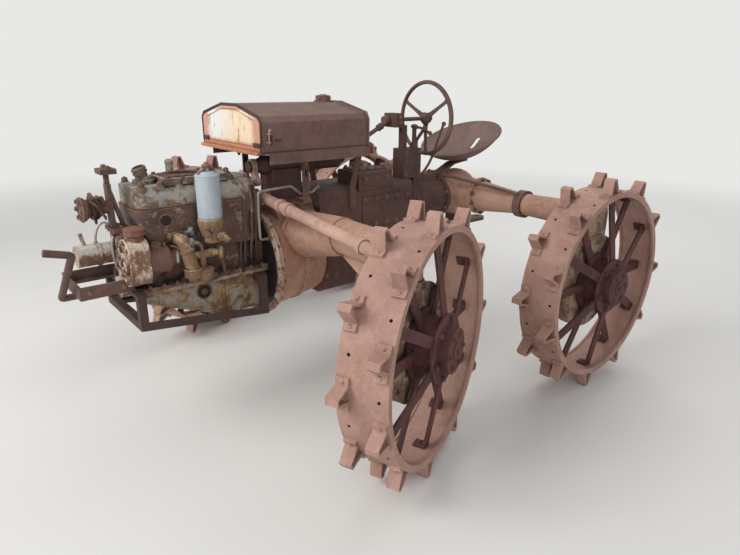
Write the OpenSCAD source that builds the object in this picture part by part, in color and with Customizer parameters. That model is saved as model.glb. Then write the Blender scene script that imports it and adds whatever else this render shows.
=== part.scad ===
// Row-crop tractor of about 1930 with four equal steel wheels, as it stands in a field:
// all four wheels driven through drop cases, front wheels steered, hood and radiator gone.
// The frame has +X to the front, +Y to the tractor's left, +Z up, the origin on the ground.
// Most places are given from the front axle line, at the height of the wheel hubs.

/* [Stance] */
// Distance from the front axle to the rear axle
wheelbase = 1255; // [1150:1:1400]
// Distance from the middle to the outer face of a rear wheel
wheel_face_y = 1090; // [1060:1:1200]
// Distance from the middle to a kingpin
kingpin_y = 890; // [870:1:960]
// Distance from a kingpin to the outer face of its wheel
face_offset = 171; // [165:1:180]
// Angle the front wheels are turned to the left
steer_rest = 21.5; // [0:0.5:30]
// Height of the axle housings above the wheel hubs
drop = 340; // [330:1:350]

/* [Wheel rim] */
// Diameter of the rim
rim_dia = 965.2; // [940:0.1:1000]
// Width of the rim
rim_w = 200; // [195:1:215]
// Thickness of the rim's band
rim_t = 9; // [6:0.5:12]
// Depth of the lip turned in at the rim's outer edge
lip_outer = 27; // [20:1:34]
// Depth of the lip turned in at the rim's inner edge
lip_inner = 15; // [12:1:20]
// Thickness of the lips
lip_t = 12; // [8:1:16]

/* [Lugs] */
// Number of lugs in each of the two rows
lug_count = 11; // [9:1:12]
// Height of a lug above the band
lug_h = 75; // [50:1:85]
// Width of a lug along the axle
lug_w = 50; // [40:1:60]
// Length of a lug's flat tip
lug_tip = 26; // [20:1:32]
// Length of a lug's bent part where it leaves the band
lug_base = 72; // [66:1:80]
// Length of a lug over both feet
lug_len = 124; // [116:1:134]
// Thickness of the lug strap
lug_t = 9; // [7:0.5:11]
// Distance from the rim's edge to the nearer side of a lug
lug_edge = 6; // [2:1:20]

/* [Spokes and hub] */
// Number of spokes in a wheel
spoke_count = 12; // [8:2:14]
// Width of a spoke
spoke_w = 44; // [36:1:50]
// Thickness of a spoke
spoke_t = 11; // [8:1:14]
// Length of the foot that a spoke bends to at the band
spoke_foot = 46; // [36:1:52]
// Radius of the hub's drum
drum_r = 118; // [105:1:125]
// Radius of the hub's inner flange
flange_r = 150; // [145:1:160]
// Thickness of the hub's inner flange
flange_t = 14; // [10:1:18]
// Radius of the hub's thin outer ring
ring_r = 142; // [136:1:150]
// Thickness of the hub's outer ring
ring_t = 10; // [7:1:12]
// Radius of the hub's cap
cap_r = 92; // [80:1:100]
// Length of the hub's cap outside the ring
cap_len = 40; // [30:1:50]
// Radius of the spindle that a hub turns on
spindle_r = 45; // [38:1:55]
// Running clearance on a spindle and on a kingpin
run_gap = 0.06; // [0.04:0.01:0.09]

/* [Drop cases] */
// Radius of the round gear case behind a wheel
case_r = 248; // [235:1:252]
// Thickness of the gear case
case_t = 72; // [64:1:76]
// Gap between a gear case and its hub
case_gap = 6; // [5:0.5:9]
// Depth of the hub from the ring to its inner flange
hub_depth = 108; // [104:1:112]
// Radius of the neck's head on a rear case
neck_r = 96; // [88:1:104]

/* [Kingpins] */
// Radius of a kingpin
kingpin_r = 28; // [22:1:34]
// Radius of the fixed head around a kingpin
head_r = 66; // [60:1:68]
// Height of the fixed head's top above the wheel hub
head_top = 430; // [420:1:434]
// Height of the fixed head's bottom above the wheel hub
head_bottom = 264; // [260:1:272]
// Gap between the fixed head and the turning column
head_gap = 6; // [5:0.5:9]
// Radius of the turning column under the head
column_r = 64; // [56:1:66]

/* [Steering linkage] */
// Length of a steering arm from its kingpin
arm_len = 165; // [155:1:175]
// Height of the tie rod's ends above the wheel hubs
rod_z = 383; // [376:1:390]
// Height of the tie rod's middle above the wheel hubs
rod_mid_z = 470; // [462:1:480]
// Radius of the tie rod's tube
rod_r = 25; // [18:1:27]
// Radius of the pins in the steering arms
arm_pin_r = 12; // [10:1:14]
// Radius of the sockets at the tie rod's ends
socket_r = 30; // [26:1:32]
// Clearance of the open joint at the right end of the tie rod
open_gap = 3; // [2:0.5:4]

/* [Axle housings] */
// Radius of the front axle housing's tube
front_tube_r = 76; // [70:1:78]
// Radius of the front axle housing where its taper ends
front_waist_r = 84; // [82:1:88]
// Radius of the front axle housing at its root
front_root_r = 116; // [105:1:122]
// Radius of the rear axle housing at its waist
rear_waist_r = 59; // [52:1:66]
// Radius of the rear axle housing at its root
rear_root_r = 94; // [85:1:100]
// Radius of the rear axle housing at its drop cases
rear_end_r = 70; // [64:1:76]
// Radius of the rear gear housing in the middle
rear_bowl_r = 142; // [130:1:150]

/* [Gearbox and bell housing] */
// Height of the crankshaft above the wheel hubs
crank_z = 157; // [150:1:165]
// Radius of the bell housing's flange
bell_r = 262; // [250:1:268]
// Thickness of the bell housing's flange
bell_t = 22; // [16:1:28]
// Distance from the front axle to the bell housing's front face
bell_x = 185; // [178:1:192]
// Half width of the gearbox
box_half = 165; // [150:1:175]
// Height of the gearbox's deck above the wheel hubs
deck_z = 482; // [476:1:488]
// Radius of the rear neck that carries the rear axle
neck_tube_r = 116; // [105:1:125]

/* [Engine] */
// Length of the engine block
block_len = 560; // [540:1:580]
// Half width of the engine block
block_half = 140; // [130:1:150]
// Height of the seam between block and oil pan above the wheel hubs
seam_z = 161; // [156:1:166]
// Height of the cylinder block above that seam
block_h = 330; // [320:1:340]
// Height of the cylinder head
head_h = 88; // [80:1:96]
// Thickness of the flanges at the seam
seam_t = 14; // [10:1:18]
// Half height of the cover in front of the magneto
cover_half_h = 92; // [84:1:98]
// Half width of the cover in front of the magneto
cover_half_w = 56; // [50:1:60]
// Radius of the magneto
magneto_r = 52; // [46:1:54]
// Radius of the canister at the engine's side
canister_r = 50; // [44:1:54]
// Length of the canister
canister_len = 190; // [180:1:200]
// Radius of the inlet elbow over the carburettor
elbow_r = 28; // [24:1:32]

/* [Fuel tank] */
// Length of the fuel tank
tank_len = 569; // [540:1:600]
// Width of the fuel tank
tank_w = 550; // [530:1:560]
// Height of the tank's bottom above the wheel hubs
tank_z = 698; // [688:1:702]
// Height of the tank's sides
tank_side = 146; // [138:1:158]
// Rise of the tank's roof above its sides
tank_roof = 43; // [35:1:50]
// Height of the rails under the tank
rail_h = 52; // [44:1:56]
// Thickness of the rails and of the posts' flat bar
rail_t = 9; // [6:1:12]
// Width of the posts' flat bar
post_w = 34; // [26:1:38]

/* [Driver's place] */
// Outer diameter of the steering wheel
steer_dia = 410; // [380:1:430]
// Thickness of the steering wheel's rim
steer_rim = 22; // [18:1:28]
// Height of the steering wheel's hub above the wheel hubs
steer_z = 790; // [785:1:805]
// Radius of the seat pan seen from above
seat_r = 248; // [230:1:262]
// Thickness of the seat pan
seat_t = 6; // [4:0.5:8]
// Angle the seat pan leans back
seat_lean = 21; // [16:0.5:24]
// Radius of the curve that the seat pan is pressed to
pan_curve = 330; // [310:1:360]
// Width of the flat spring under the seat
spring_w = 64; // [50:1:76]

/* [Front end] */
// Distance from the front axle to the tip of the hand crank
crank_reach = 1106; // [1095:1:1120]
// Radius of the hand crank's bar
crank_r = 14; // [11:1:16]
// Distance from the front axle to the upright part of the hand crank
crank_elbow = 1036; // [1020:1:1050]
// Depth of the front bracket's channel
channel_h = 52; // [44:1:56]
// Thickness of the front bracket's plate
channel_t = 10; // [7:1:12]
// Height of the lower frame's rails
frame_h = 34; // [28:1:40]
// Thickness of the lower frame's rails
frame_t = 9; // [7:1:12]

/* [Hidden] */
$fn = 48;

// Stance worked out from the sizes above
rim_r = rim_dia / 2;
lug_reach = rim_r + lug_h;
lug_pitch = 360 / lug_count;
hub_z = lug_reach * cos(lug_pitch / 4) + lug_tip / 2 * sin(lug_pitch / 4);
front_x = (wheelbase + lug_reach - crank_reach) / 2;
rear_dx = -wheelbase;

// Colours as the photo shows them
rust_pink = [0.56, 0.38, 0.34];
rust_brown = [0.36, 0.24, 0.20];
rust_orange = [0.62, 0.37, 0.25];
cream = [0.74, 0.66, 0.54];
dark_red = [0.38, 0.18, 0.18];
dark = [0.18, 0.16, 0.15];

// Balls at a bar's knees stand proud of it by this much
knee_rise = 0.6;

// Small makers of plain shapes

module at_axle() {
    translate([front_x, 0, hub_z]) children();
}

// A block between two corners
module block(low, high) {
    translate(low) cube(high - low);
}

// A round bar or pipe between two points
module bar(from, to, r) {
    d = to - from;
    translate(from)
        rotate([0, acos(d.z / norm(d)), atan2(d.y, d.x)]) cylinder(h = norm(d), r = r);
}

// A bar bent at each of its points
module bent_bar(points, r) {
    for (i = [0:len(points) - 2]) bar(points[i], points[i + 1], r);
    for (i = [1:len(points) - 2]) translate(points[i]) sphere(r = r + knee_rise);
}

// A flat bar in an XZ plane, its width in that plane, its thickness along Y
module flat_bar(from, to, w, t) {
    d = to - from;
    length = sqrt(d.x * d.x + d.z * d.z);
    translate(from) rotate([0, -atan2(d.z, d.x), 0]) translate([0, -t / 2, -w / 2])
        cube([length, t, w]);
}

// A round stretch along X from x0 to x1, with another radius at the far end if given
module along_x(x0, x1, r, r_end = 0) {
    translate([x0, 0, 0]) rotate([0, 90, 0])
        cylinder(h = x1 - x0, r1 = r, r2 = r_end > 0 ? r_end : r);
}

// A round stretch along Y from y0 to y1, with another radius at the far end if given
module along_y(y0, y1, r, r_end = 0) {
    translate([0, y0, 0]) rotate([-90, 0, 0])
        cylinder(h = y1 - y0, r1 = r, r2 = r_end > 0 ? r_end : r);
}

// An outline in Y and Z drawn out along X
module section_x(x0, x1) {
    translate([x0, 0, 0]) rotate([90, 0, 90]) linear_extrude(x1 - x0) children();
}

// An outline in X and Z drawn out along Y
module section_y(y0, y1) {
    translate([0, y1, 0]) rotate([90, 0, 0]) linear_extrude(y1 - y0) children();
}

// A rectangle with round corners between two corners
module round_rect(low, high, r) {
    translate([low.x + r, low.y]) square([high.x - low.x - 2 * r, high.y - low.y]);
    translate([low.x, low.y + r]) square([high.x - low.x, high.y - low.y - 2 * r]);
    for (x = [low.x + r, high.x - r], y = [low.y + r, high.y - r])
        translate([x, y]) circle(r = r);
}

// The piece and its twin on the tractor's other side
module both_sides() {
    children();
    mirror([0, 1, 0]) children();
}

// Wheels: the axle along Y, the outer face at y = 0, the inside at negative y

lug_rows = [
    // side of the bottom that the row starts from, y of the row's outer side
    [1, -lug_edge],
    [-1, -rim_w + lug_edge + lug_w]];

// A lug is one strap bent up to a flat tip, standing on two feet
module lug() {
    foot_low = -rim_t / 2;
    polygon([[-lug_len / 2, foot_low], [-lug_len / 2, lug_t], [-lug_base / 2, lug_t],
        [-lug_tip / 2, lug_h], [lug_tip / 2, lug_h], [lug_base / 2, lug_t],
        [lug_len / 2, lug_t], [lug_len / 2, foot_low], [lug_base / 2 - lug_t, foot_low],
        [lug_tip / 2 - lug_t / 2, lug_h - lug_t], [lug_t / 2 - lug_tip / 2, lug_h - lug_t],
        [lug_t - lug_base / 2, foot_low]]);
}

module wheel_rim() {
    rotate([-90, 0, 0]) rotate_extrude($fn = 96) {
        translate([rim_r - rim_t, -rim_w]) square([rim_t, rim_w]);
        translate([rim_r - lip_outer, -lip_t]) square([lip_outer, lip_t]);
        translate([rim_r - lip_inner, -rim_w]) square([lip_inner, lip_t]);
    }
    for (row = lug_rows, k = [0:lug_count - 1]) {
        angle = -90 + row[0] * lug_pitch / 4 + k * lug_pitch;
        rotate([0, 90 - angle, 0]) translate([0, row[1], rim_r])
            rotate([90, 0, 0]) linear_extrude(lug_w) lug();
    }
}

hub_in_y = ring_t - hub_depth;
cap_end_y = ring_t + cap_len;
spindle_end_y = ring_t + cap_len / 2;
end_gap = 5;

spoke_sets = [
    // y of the spoke's root on the hub, y of its foot on the band, first angle
    [-spoke_t, -0.32 * rim_w, 0],
    [hub_in_y + flange_t, -0.46 * rim_w, 360 / spoke_count]];

// A spoke leans from the hub to the band and ends in a foot bent along the band
module spoke(root_y, foot_y) {
    root_r = drum_r - 6;
    band_r = rim_r - rim_t;
    top_r = sqrt(band_r * band_r - spoke_w * spoke_w / 4);
    rotate([90, 0, 90]) translate([0, 0, -spoke_w / 2]) linear_extrude(spoke_w)
        polygon([[root_y, root_r], [root_y, flange_r - 14], [foot_y, top_r - spoke_t],
            [foot_y - spoke_foot, top_r - spoke_t], [foot_y - spoke_foot, top_r],
            [foot_y + spoke_t, top_r], [foot_y + spoke_t, top_r - spoke_t],
            [root_y + spoke_t, flange_r - 14], [root_y + spoke_t, root_r]]);
}

module wheel_hub() {
    difference() {
        union() {
            along_y(hub_in_y, 0, drum_r);
            along_y(hub_in_y, hub_in_y + flange_t, flange_r);
            along_y(0, ring_t, ring_r);
            along_y(ring_t, cap_end_y, cap_r);
            for (set = spoke_sets, k = [0:spoke_count / 2 - 1])
                rotate([0, set[2] + k * 720 / spoke_count, 0]) spoke(set[0], set[1]);
        }
        along_y(hub_in_y - 1, spindle_end_y + end_gap, spindle_r + run_gap);
    }
}

// A wheel in its place: end is 1 at the front and 0 at the rear, side is 1 left, -1 right
module place_wheel(end, side) {
    at_axle() mirror([0, side > 0 ? 0 : 1, 0])
        if (end == 1)
            translate([0, kingpin_y, 0]) rotate([0, 0, side * steer_rest])
                translate([0, face_offset, 0]) children();
        else
            translate([rear_dx, wheel_face_y, 0]) children();
}

// What turns on the kingpin, the steering arm pointing forward
case_out_y = hub_in_y - case_gap;
case_in_y = case_out_y - case_t;
arm_w = 40;
arm_t = 30;
arm_z = head_bottom - head_gap - arm_t;
post_top_z = rod_z - 28;
column_bottom = -60;
collar_rise = 6;
kingpin_top = head_top - 32;

module gear_case() {
    along_y(case_in_y, case_out_y, case_r);
    along_y(case_in_y - 16, case_in_y, case_r - 60);
    along_y(case_out_y, spindle_end_y, spindle_r);
}

module knuckle() {
    translate([0, face_offset, 0]) gear_case();
    translate([0, 0, column_bottom])
        cylinder(h = head_bottom - head_gap - column_bottom, r = column_r);
    translate([0, 0, head_bottom - head_gap - 18]) cylinder(h = 18, r = head_r + collar_rise);
    cylinder(h = kingpin_top, r = kingpin_r);
    block([0, -arm_w / 2, arm_z], [arm_len, arm_w / 2, arm_z + arm_t]);
    translate([arm_len, 0, arm_z]) cylinder(h = post_top_z - arm_z, r = arm_w / 2);
    translate([arm_len, 0, arm_z]) cylinder(h = rod_z + arm_pin_top - arm_z, r = arm_pin_r);
}

module place_knuckle(side) {
    at_axle() mirror([0, side > 0 ? 0 : 1, 0]) translate([0, kingpin_y, 0])
        rotate([0, 0, side * steer_rest]) knuckle();
}

// Ends of the steering arms as they stand at rest
arm_dx = arm_len * cos(steer_rest);
arm_dy = arm_len * sin(steer_rest);
rod_ends = [[arm_dx, kingpin_y + arm_dy, rod_z], [arm_dx, arm_dy - kingpin_y, rod_z]];
rod_mid = [arm_dx, arm_dy, rod_mid_z];
socket_low = -23;
socket_high = 27;
arm_pin_top = 16;

module rod_socket(bore_r) {
    difference() {
        translate([0, 0, socket_low]) cylinder(h = socket_high - socket_low, r = socket_r);
        translate([0, 0, socket_low - 1])
            cylinder(h = arm_pin_top + end_gap - socket_low + 1, r = bore_r);
    }
}

module tie_rod() {
    color(rust_pink) at_axle() {
        translate(rod_ends[0]) rod_socket(arm_pin_r + run_gap);
        translate(rod_ends[1]) rod_socket(arm_pin_r + open_gap);
        difference() {
            union() {
                bar(rod_mid + [0, 40, 0], rod_ends[0], rod_r);
                bar(rod_mid - [0, 40, 0], rod_ends[1], rod_r - 5);
            }
            for (end = rod_ends) translate(end + [0, 0, socket_low - 8])
                cylinder(h = socket_high - socket_low + 24, r = socket_r - 4);
        }
        translate(rod_mid) {
            block([-22, -52, -24], [22, 52, 24]);
            for (y = [-36, 36]) translate([0, y, 0]) cylinder(h = 34, r = 9);
        }
    }
}

// Steering gear under the tank: a worm housing on a stand, its arm swinging sideways
gear_z = 606;
pitman_x = arm_dx + 2;
pitman_t = 22;
stand_half = 52;
pitman_len = gear_z - rod_mid_z - 62;
pitman_rest = asin(arm_dy / (gear_z - rod_mid_z));

module pitman_arm() {
    color(rust_brown) at_axle() translate([pitman_x, 0, gear_z]) rotate([pitman_rest, 0, 0]) {
        difference() {
            union() {
                along_x(-pitman_t / 2, pitman_t / 2, 34);
                translate([-pitman_t / 2, -18, -pitman_len]) cube([pitman_t, 36, pitman_len]);
                translate([0, 0, -pitman_len]) along_x(-pitman_t / 2, pitman_t / 2, 22);
            }
            along_x(-pitman_t, pitman_t, 16 + run_gap);
        }
    }
}

module steering_gear() {
    color(rust_brown) at_axle() {
        translate([0, 0, gear_z]) {
            along_x(-330, 100, 44);
            along_x(100, pitman_x - pitman_t / 2 - 5, 44, 30);
            along_x(90, pitman_x + pitman_t / 2 + 14, 16);
            along_x(pitman_x + pitman_t / 2 + 5, pitman_x + pitman_t / 2 + 14, 24);
        }
        difference() {
            block([-80, -stand_half, hump_top - 30], [78, stand_half, gear_z - 20]);
            hump(seat_gap);
        }
    }
}

// Bell housing, front gear housing and gearbox
hump_top = 455;
hump_r = 128;
diff_rear_x = -108;
hump_front_x = 100;
flange_y = box_half + 75;
seat_gap = 0.3;

module hump(gap) {
    translate([0, 0, hump_top - hump_r]) along_x(diff_rear_x, hump_front_x, hump_r + gap);
}

// The cone that the front axle housing leaves the bell housing with
module trumpet() {
    lean = atan2(drop + 5 - cone_z, cone_end - cone_start);
    translate([0, cone_start, cone_z]) rotate([lean, 0, 0])
        along_y(0, (cone_end - cone_start) / cos(lean), front_root_r, front_waist_r);
}

module bell_housing() {
    color(rust_orange) at_axle() {
        translate([0, 0, crank_z]) {
            along_x(bell_x - bell_t, bell_x, bell_r);
        }
        translate([0, 0, crank_z]) {
            along_x(diff_rear_x, bell_x - bell_t, bell_r - 54, bell_r - 18);
            along_x(0, 26, bell_r - 32);
        }
        hump(0);
        both_sides() {
            translate([0, 0, 290]) along_y(box_half, box_half + 20, front_root_r + 8);
            intersection() {
                trumpet();
                block([-200, box_half, 0], [200, flange_y, 500]);
            }
        }
    }
}

mid_x = -330;
neck_x = rear_dx + 525;
swivel_x = rear_dx + 171;
swivel_t = 24;

module rear_neck(gap) {
    translate([0, 0, drop - 13]) {
        along_x(swivel_x + swivel_t, neck_x, neck_tube_r + gap);
        along_x(swivel_x, swivel_x + swivel_t, neck_tube_r + 14 + gap);
    }
}

module gearbox() {
    shift_box = [rear_dx + 685, mid_x - 15];
    shift_low = 450;
    shift_top = 552;
    color(rust_brown) at_axle() {
        section_x(mid_x, diff_rear_x) round_rect([-box_half, -40], [box_half, deck_z], 40);
        section_x(neck_x, mid_x) round_rect([-box_half, 205], [box_half, deck_z], 40);
        section_x(shift_box[0], shift_box[1])
            round_rect([-10, shift_low], [box_half + 6, shift_top], 16);
        rear_neck(0);
    }
}

// Axle housings
cone_start = 140;
cone_end = 500;
cone_z = 288;

module front_axle() {
    color(rust_orange) at_axle() both_sides() {
        difference() {
            union() {
                difference() {
                    trumpet();
                    block([-200, 0, 0], [200, flange_y, 500]);
                }
                translate([0, 0, drop + 5])
                    along_y(cone_end - 30, kingpin_y - head_r + 26, front_tube_r);
                translate([0, kingpin_y, head_bottom])
                    cylinder(h = head_top - head_bottom, r = head_r);
                translate([0, kingpin_y, head_top]) cylinder(h = 14, r = head_r - 34);
                gusset();
            }
            translate([0, kingpin_y, head_bottom - 1])
                cylinder(h = kingpin_top + end_gap - head_bottom + 1, r = kingpin_r + run_gap);
        }
    }
}

// The web under the housing, its end clear of what turns on the kingpin
module gusset() {
    end_y = kingpin_y - head_r - collar_rise - head_gap;
    joined_y = kingpin_y - head_r + 4;
    section_x(-13, 13)
        polygon([[470, drop], [470, 274], [612, 204], [end_y, 204],
            [end_y, head_bottom + 2], [joined_y, head_bottom + 2], [joined_y, drop]]);
}

module rear_axle() {
    color(rust_orange) at_axle() translate([rear_dx, 0, drop - 5]) {
        sphere(r = rear_bowl_r);
        translate([0, 0, -8]) along_x(0, swivel_x - rear_dx, neck_tube_r - 8);
        both_sides() {
            along_y(60, 500, rear_root_r + 14, rear_waist_r);
            along_y(500, wheel_face_y + case_in_y, rear_waist_r, rear_end_r);
            along_y(200, 222, rear_root_r + 14);
        }
    }
}

module rear_drop_cases() {
    color(cream) at_axle() both_sides() translate([rear_dx, wheel_face_y, 0]) {
        gear_case();
        translate([0, 0, drop - 5]) along_y(case_in_y, case_out_y - 8, neck_r);
        block([-neck_r, case_in_y, case_r - 60], [neck_r, case_out_y - 8, drop - 5]);
    }
}

// Engine
block_back = bell_x;
block_front = bell_x + block_len;
block_top = seam_z + block_h;
side_y = block_half + 16;
end_x = block_front + 26;
low_half = block_half - 30;
jacket_low = 352;
corner_r = 60;

// The cylinder block, its upper part wider and cut away over the magneto
module engine_block() {
    slope_x = block_front - 45;
    deep_x = block_back + 375;
    color(cream) at_axle() {
        block([block_back, -side_y, seam_z], [end_x, side_y, seam_z + seam_t]);
        block([block_back, -block_half, seam_z + seam_t],
            [block_front - 10, low_half, jacket_low + 10]);
        intersection() {
            section_y(-block_half, block_half)
                polygon([[block_back + 20, jacket_low - 52], [deep_x, jacket_low - 52],
                    [deep_x + 40, jacket_low], [slope_x, jacket_low],
                    [block_front, block_top - 30], [block_front, block_top],
                    [block_back + 20, block_top]]);
            translate([0, 0, seam_z]) linear_extrude(block_h)
                round_rect([block_back, -block_half], [block_front, block_half], corner_r);
        }
    }
}

// The cylinder head with its cover plate and the water elbow
module cylinder_head() {
    half = block_half - 6;
    top = block_top + head_h;
    plate_t = 24;
    elbow_x = block_front - 85;
    color(cream) at_axle() {
        intersection() {
            section_x(block_back + 26, block_front - 6)
                round_rect([-half, block_top - 90], [half, top], 74);
            translate([0, 0, block_top]) linear_extrude(head_h)
                round_rect([block_back + 26, -half], [block_front - 6, half], corner_r);
        }
        block([bell_x + 130, -70, top - 4], [bell_x + 427, 100, top + plate_t]);
        translate([elbow_x, 0, top - 4]) cylinder(h = 20, r = 44);
        bar([elbow_x, 0, top + 8], [elbow_x + 18, 0, top + 66], 26);
        translate([bell_x + 360, -6, top + plate_t]) cylinder(h = 50, r = 16);
    }
}

module oil_pan() {
    pan_half = block_half - 6;
    rib = [384, 402];
    deepest = -26;
    color(cream) at_axle() {
        block([block_back, -side_y, seam_z - seam_t], [end_x, side_y, seam_z]);
        section_y(-pan_half, pan_half)
            polygon([[block_back, seam_z - seam_t], [end_x - 4, seam_z - seam_t],
                [end_x - 6, 110], [600, 44], [470, -6], [rib[1], deepest], [250, deepest + 2],
                [block_back, 6]]);
        block([rib[0], -pan_half - 5, deepest - 4], [rib[1], pan_half + 5, seam_z - seam_t]);
    }
}

crank_start_x = block_front + 70;
drum_y = 175;
drum_z = 306;
cover_from = block_front;
cover_to = block_front + 78;
timing_t = 44;

module magneto_cover(gap) {
    section_x(cover_from - gap, cover_to + gap)
        round_rect([drum_y - cover_half_w - gap, drum_z - cover_half_h - gap],
            [drum_y + cover_half_w + gap, drum_z + cover_half_h + gap], 46 + gap);
}

module gear_cover() {
    top = 400;
    color(cream) at_axle() {
        section_x(block_front, block_front + timing_t)
            round_rect([-120, seam_z + seam_t], [130, top], 40);
        translate([0, 0, crank_z]) along_x(end_x, crank_start_x, 46);
        magneto_cover(0);
        translate([0, drum_y, drum_z]) along_x(cover_to, cover_to + 14, 44);
        block([block_front, 60, 240], [block_front + timing_t, 170, 348]);
    }
}

module magneto() {
    body_back = block_front - 85;
    color(rust_brown) at_axle() translate([0, drum_y, drum_z - 8]) {
        along_x(body_back, cover_from, magneto_r);
        along_x(body_back - 32, body_back, 30);
        block([body_back + 25, -20, magneto_r - 10], [body_back + 65, 12, magneto_r + 18]);
    }
}

module oil_filler() {
    cap_low = 418;
    color(rust_brown) at_axle() difference() {
        translate([block_front + 34, drum_y + 5, 0]) {
            translate([0, 0, cap_low - 40]) cylinder(h = 40, r = 33);
            translate([0, 0, cap_low]) cylinder(h = 23, r = 40);
        }
        magneto_cover(seat_gap);
    }
}

// The inlet elbow and the carburettor's bowl and pipe under it
module carburettor() {
    top = [598, 196, 360];
    low = [575, 222, 240];
    bowl = [528, 224, 200];
    flange_x = 446;
    color(rust_orange) at_axle() {
        bent_bar([[top.x, block_half, top.z], top, low], elbow_r);
        translate([low.x, low.y, low.z - 26]) cylinder(h = 34, r = elbow_r + 10);
        translate(bowl) cylinder(h = 40, r = 38);
        bar([bowl.x + 2, bowl.y - 18, bowl.z + 34], [bowl.x - 4, 200, 292], 17);
        translate([0, 200, 294]) {
            along_x(flange_x, top.x - 16, 18);
            along_x(flange_x, flange_x + 9, 34);
            block([flange_x + 20, low_half - 200, -16], [flange_x + 50, 0, 4]);
        }
    }
}

module canister() {
    foot_z = 350;
    low = 430;
    top = low + canister_len;
    color([0.66, 0.72, 0.76]) at_axle() translate([474, 204, 0]) {
        translate([0, 0, low]) cylinder(h = canister_len, r = canister_r);
        translate([0, 0, top]) cylinder(h = 16, r1 = canister_r, r2 = 30);
        translate([0, 0, top + 16]) cylinder(h = 22, r = 9);
        translate([0, 0, foot_z + 22]) cylinder(h = 58, r1 = 40, r2 = canister_r + 3);
        translate([0, 0, foot_z]) cylinder(h = 22, r = 30);
        block([-24, block_half - 204, 380], [24, -30, 420]);
        bar([0, 0, 392], [-30, 44, 366], 17);
    }
}

module starter() {
    front = block_front + 190;
    ring_x = block_front + 96;
    color(cream) at_axle() translate([0, -120, 282]) {
        along_x(block_front + timing_t, front, 46);
        along_x(ring_x, ring_x + 12, 52);
        bar([front - 40, 0, 40], [front - 30, -10, 96], 8);
    }
}

fan_z = 500;
plate_x = 800;

module fan_hub() {
    steps = [836, 858, 880];
    step_len = 22;
    color(rust_brown) at_axle() translate([0, 0, fan_z]) {
        along_x(plate_x + 14, steps[0], 26);
        for (x = steps) along_x(x, x + step_len, 30, 44);
        along_x(steps[2] + step_len, steps[2] + step_len + 16, 46);
    }
}

// The upright that carried fan and radiator, with a brace to the timing cover
module radiator_bracket() {
    head_z = 632;
    fork_z = 592;
    foot_z = 400;
    color(rust_brown) at_axle() {
        block([plate_x - 28, -38, head_z], [plate_x + 34, 38, head_z + 20]);
        block([plate_x - 4, -9, fork_z], [plate_x + 14, 9, head_z]);
        block([plate_x - 4, -20, foot_z - 20], [plate_x + 14, 20, fork_z]);
        flat_bar([plate_x + 6, 0, fork_z - 6], [block_front + 15, 0, foot_z + 8], 12, 34);
        block([block_front + 4, -60, foot_z], [plate_x + 20, 60, foot_z + 16]);
    }
}

module front_bracket() {
    x0 = block_front + timing_t;
    x1 = 985;
    half = 130;
    low = crank_z + crank_r + 3;
    color(rust_brown) at_axle() {
        both_sides() {
            block([x0, half - channel_t, low], [x1, half, low + channel_h]);
            block([x0, half - 30, low], [x1, half, low + channel_t]);
            block([end_x, 60, seam_z], [x0, half, seam_z + seam_t]);
            block([x0, 60, seam_z], [x0 + 14, half, low + channel_h]);
        }
        block([x1, -half, low], [x1 + channel_t, half, low + channel_h]);
    }
}

module hand_crank() {
    throw_top = [crank_elbow - 20, 214, 384];
    shaft_end = [crank_elbow, 0, crank_z];
    color(rust_brown) at_axle() {
        bar([crank_start_x, 0, crank_z], shaft_end, crank_r + 1);
        bent_bar([shaft_end - [2, 0, 0], shaft_end, throw_top, [crank_reach, 214, 408]],
            crank_r);
        translate(shaft_end) sphere(r = crank_r + 2);
    }
}

module lower_frame() {
    y0 = 205;
    y1 = y0 + frame_t;
    front = [776, 810];
    back = [230, 262];
    front_low = 24;
    back_low = -44;
    color(rust_brown) at_axle() {
        both_sides() {
            section_y(y0, y1) polygon([[back[0], back_low], [front[1], front_low],
                [front[1], front_low + frame_h], [back[0], back_low + frame_h]]);
            section_y(y0 - 34, y1) polygon([[back[0], back_low], [front[1], front_low],
                [front[1], front_low + frame_t], [back[0], back_low + frame_t]]);
            block([front[0], y0 - 20, front_low], [front[1], y1, seam_z + seam_t]);
            block([end_x, block_half, seam_z], [front[1], y1, seam_z + seam_t]);
            block([back[0], block_half, 110], [back[1], y1, seam_z - seam_t]);
            block([back[0], y0 - 20, back_low + 4], [back[1], y1, 110]);
        }
        block([front[0], -y0, front_low], [front[1], y0, front_low + frame_h]);
    }
}

// Fuel tank on its rails and posts
tank_front = 257;
tank_back = tank_front - tank_len;
tank_half = tank_w / 2;
shoulder_z = tank_z + tank_side;
crown_half = 70;

module tank_outline(inset, bottom) {
    half = tank_half - inset;
    polygon([[-half, tank_z + bottom], [half, tank_z + bottom], [half, shoulder_z - 24],
        [half - 18, shoulder_z - inset], [crown_half, shoulder_z + tank_roof - inset],
        [-crown_half, shoulder_z + tank_roof - inset], [18 - half, shoulder_z - inset],
        [-half, shoulder_z - 24]]);
}

module fuel_tank() {
    cap_x = -255;
    cap_z = shoulder_z + tank_roof;
    color(rust_brown) at_axle() {
        difference() {
            section_x(tank_back, tank_front) tank_outline(0, 0);
            section_x(tank_front - 10, tank_front + 1) tank_outline(24, 24);
        }
        section_x(tank_back - 7, tank_back) tank_outline(-7, 0);
        section_x(tank_back + 20, tank_back + 30) tank_outline(-3, 0);
        translate([cap_x, 0, cap_z]) cylinder(h = 8, r = 46);
        translate([cap_x, 0, cap_z + 8]) cylinder(h = 18, r = 36);
    }
}

rail_front = tank_front - 40;
rail_back = tank_back - 18;
cross_low = tank_z - 38;
cross_x = [-30, 10];
cross_t = 10;

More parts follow.
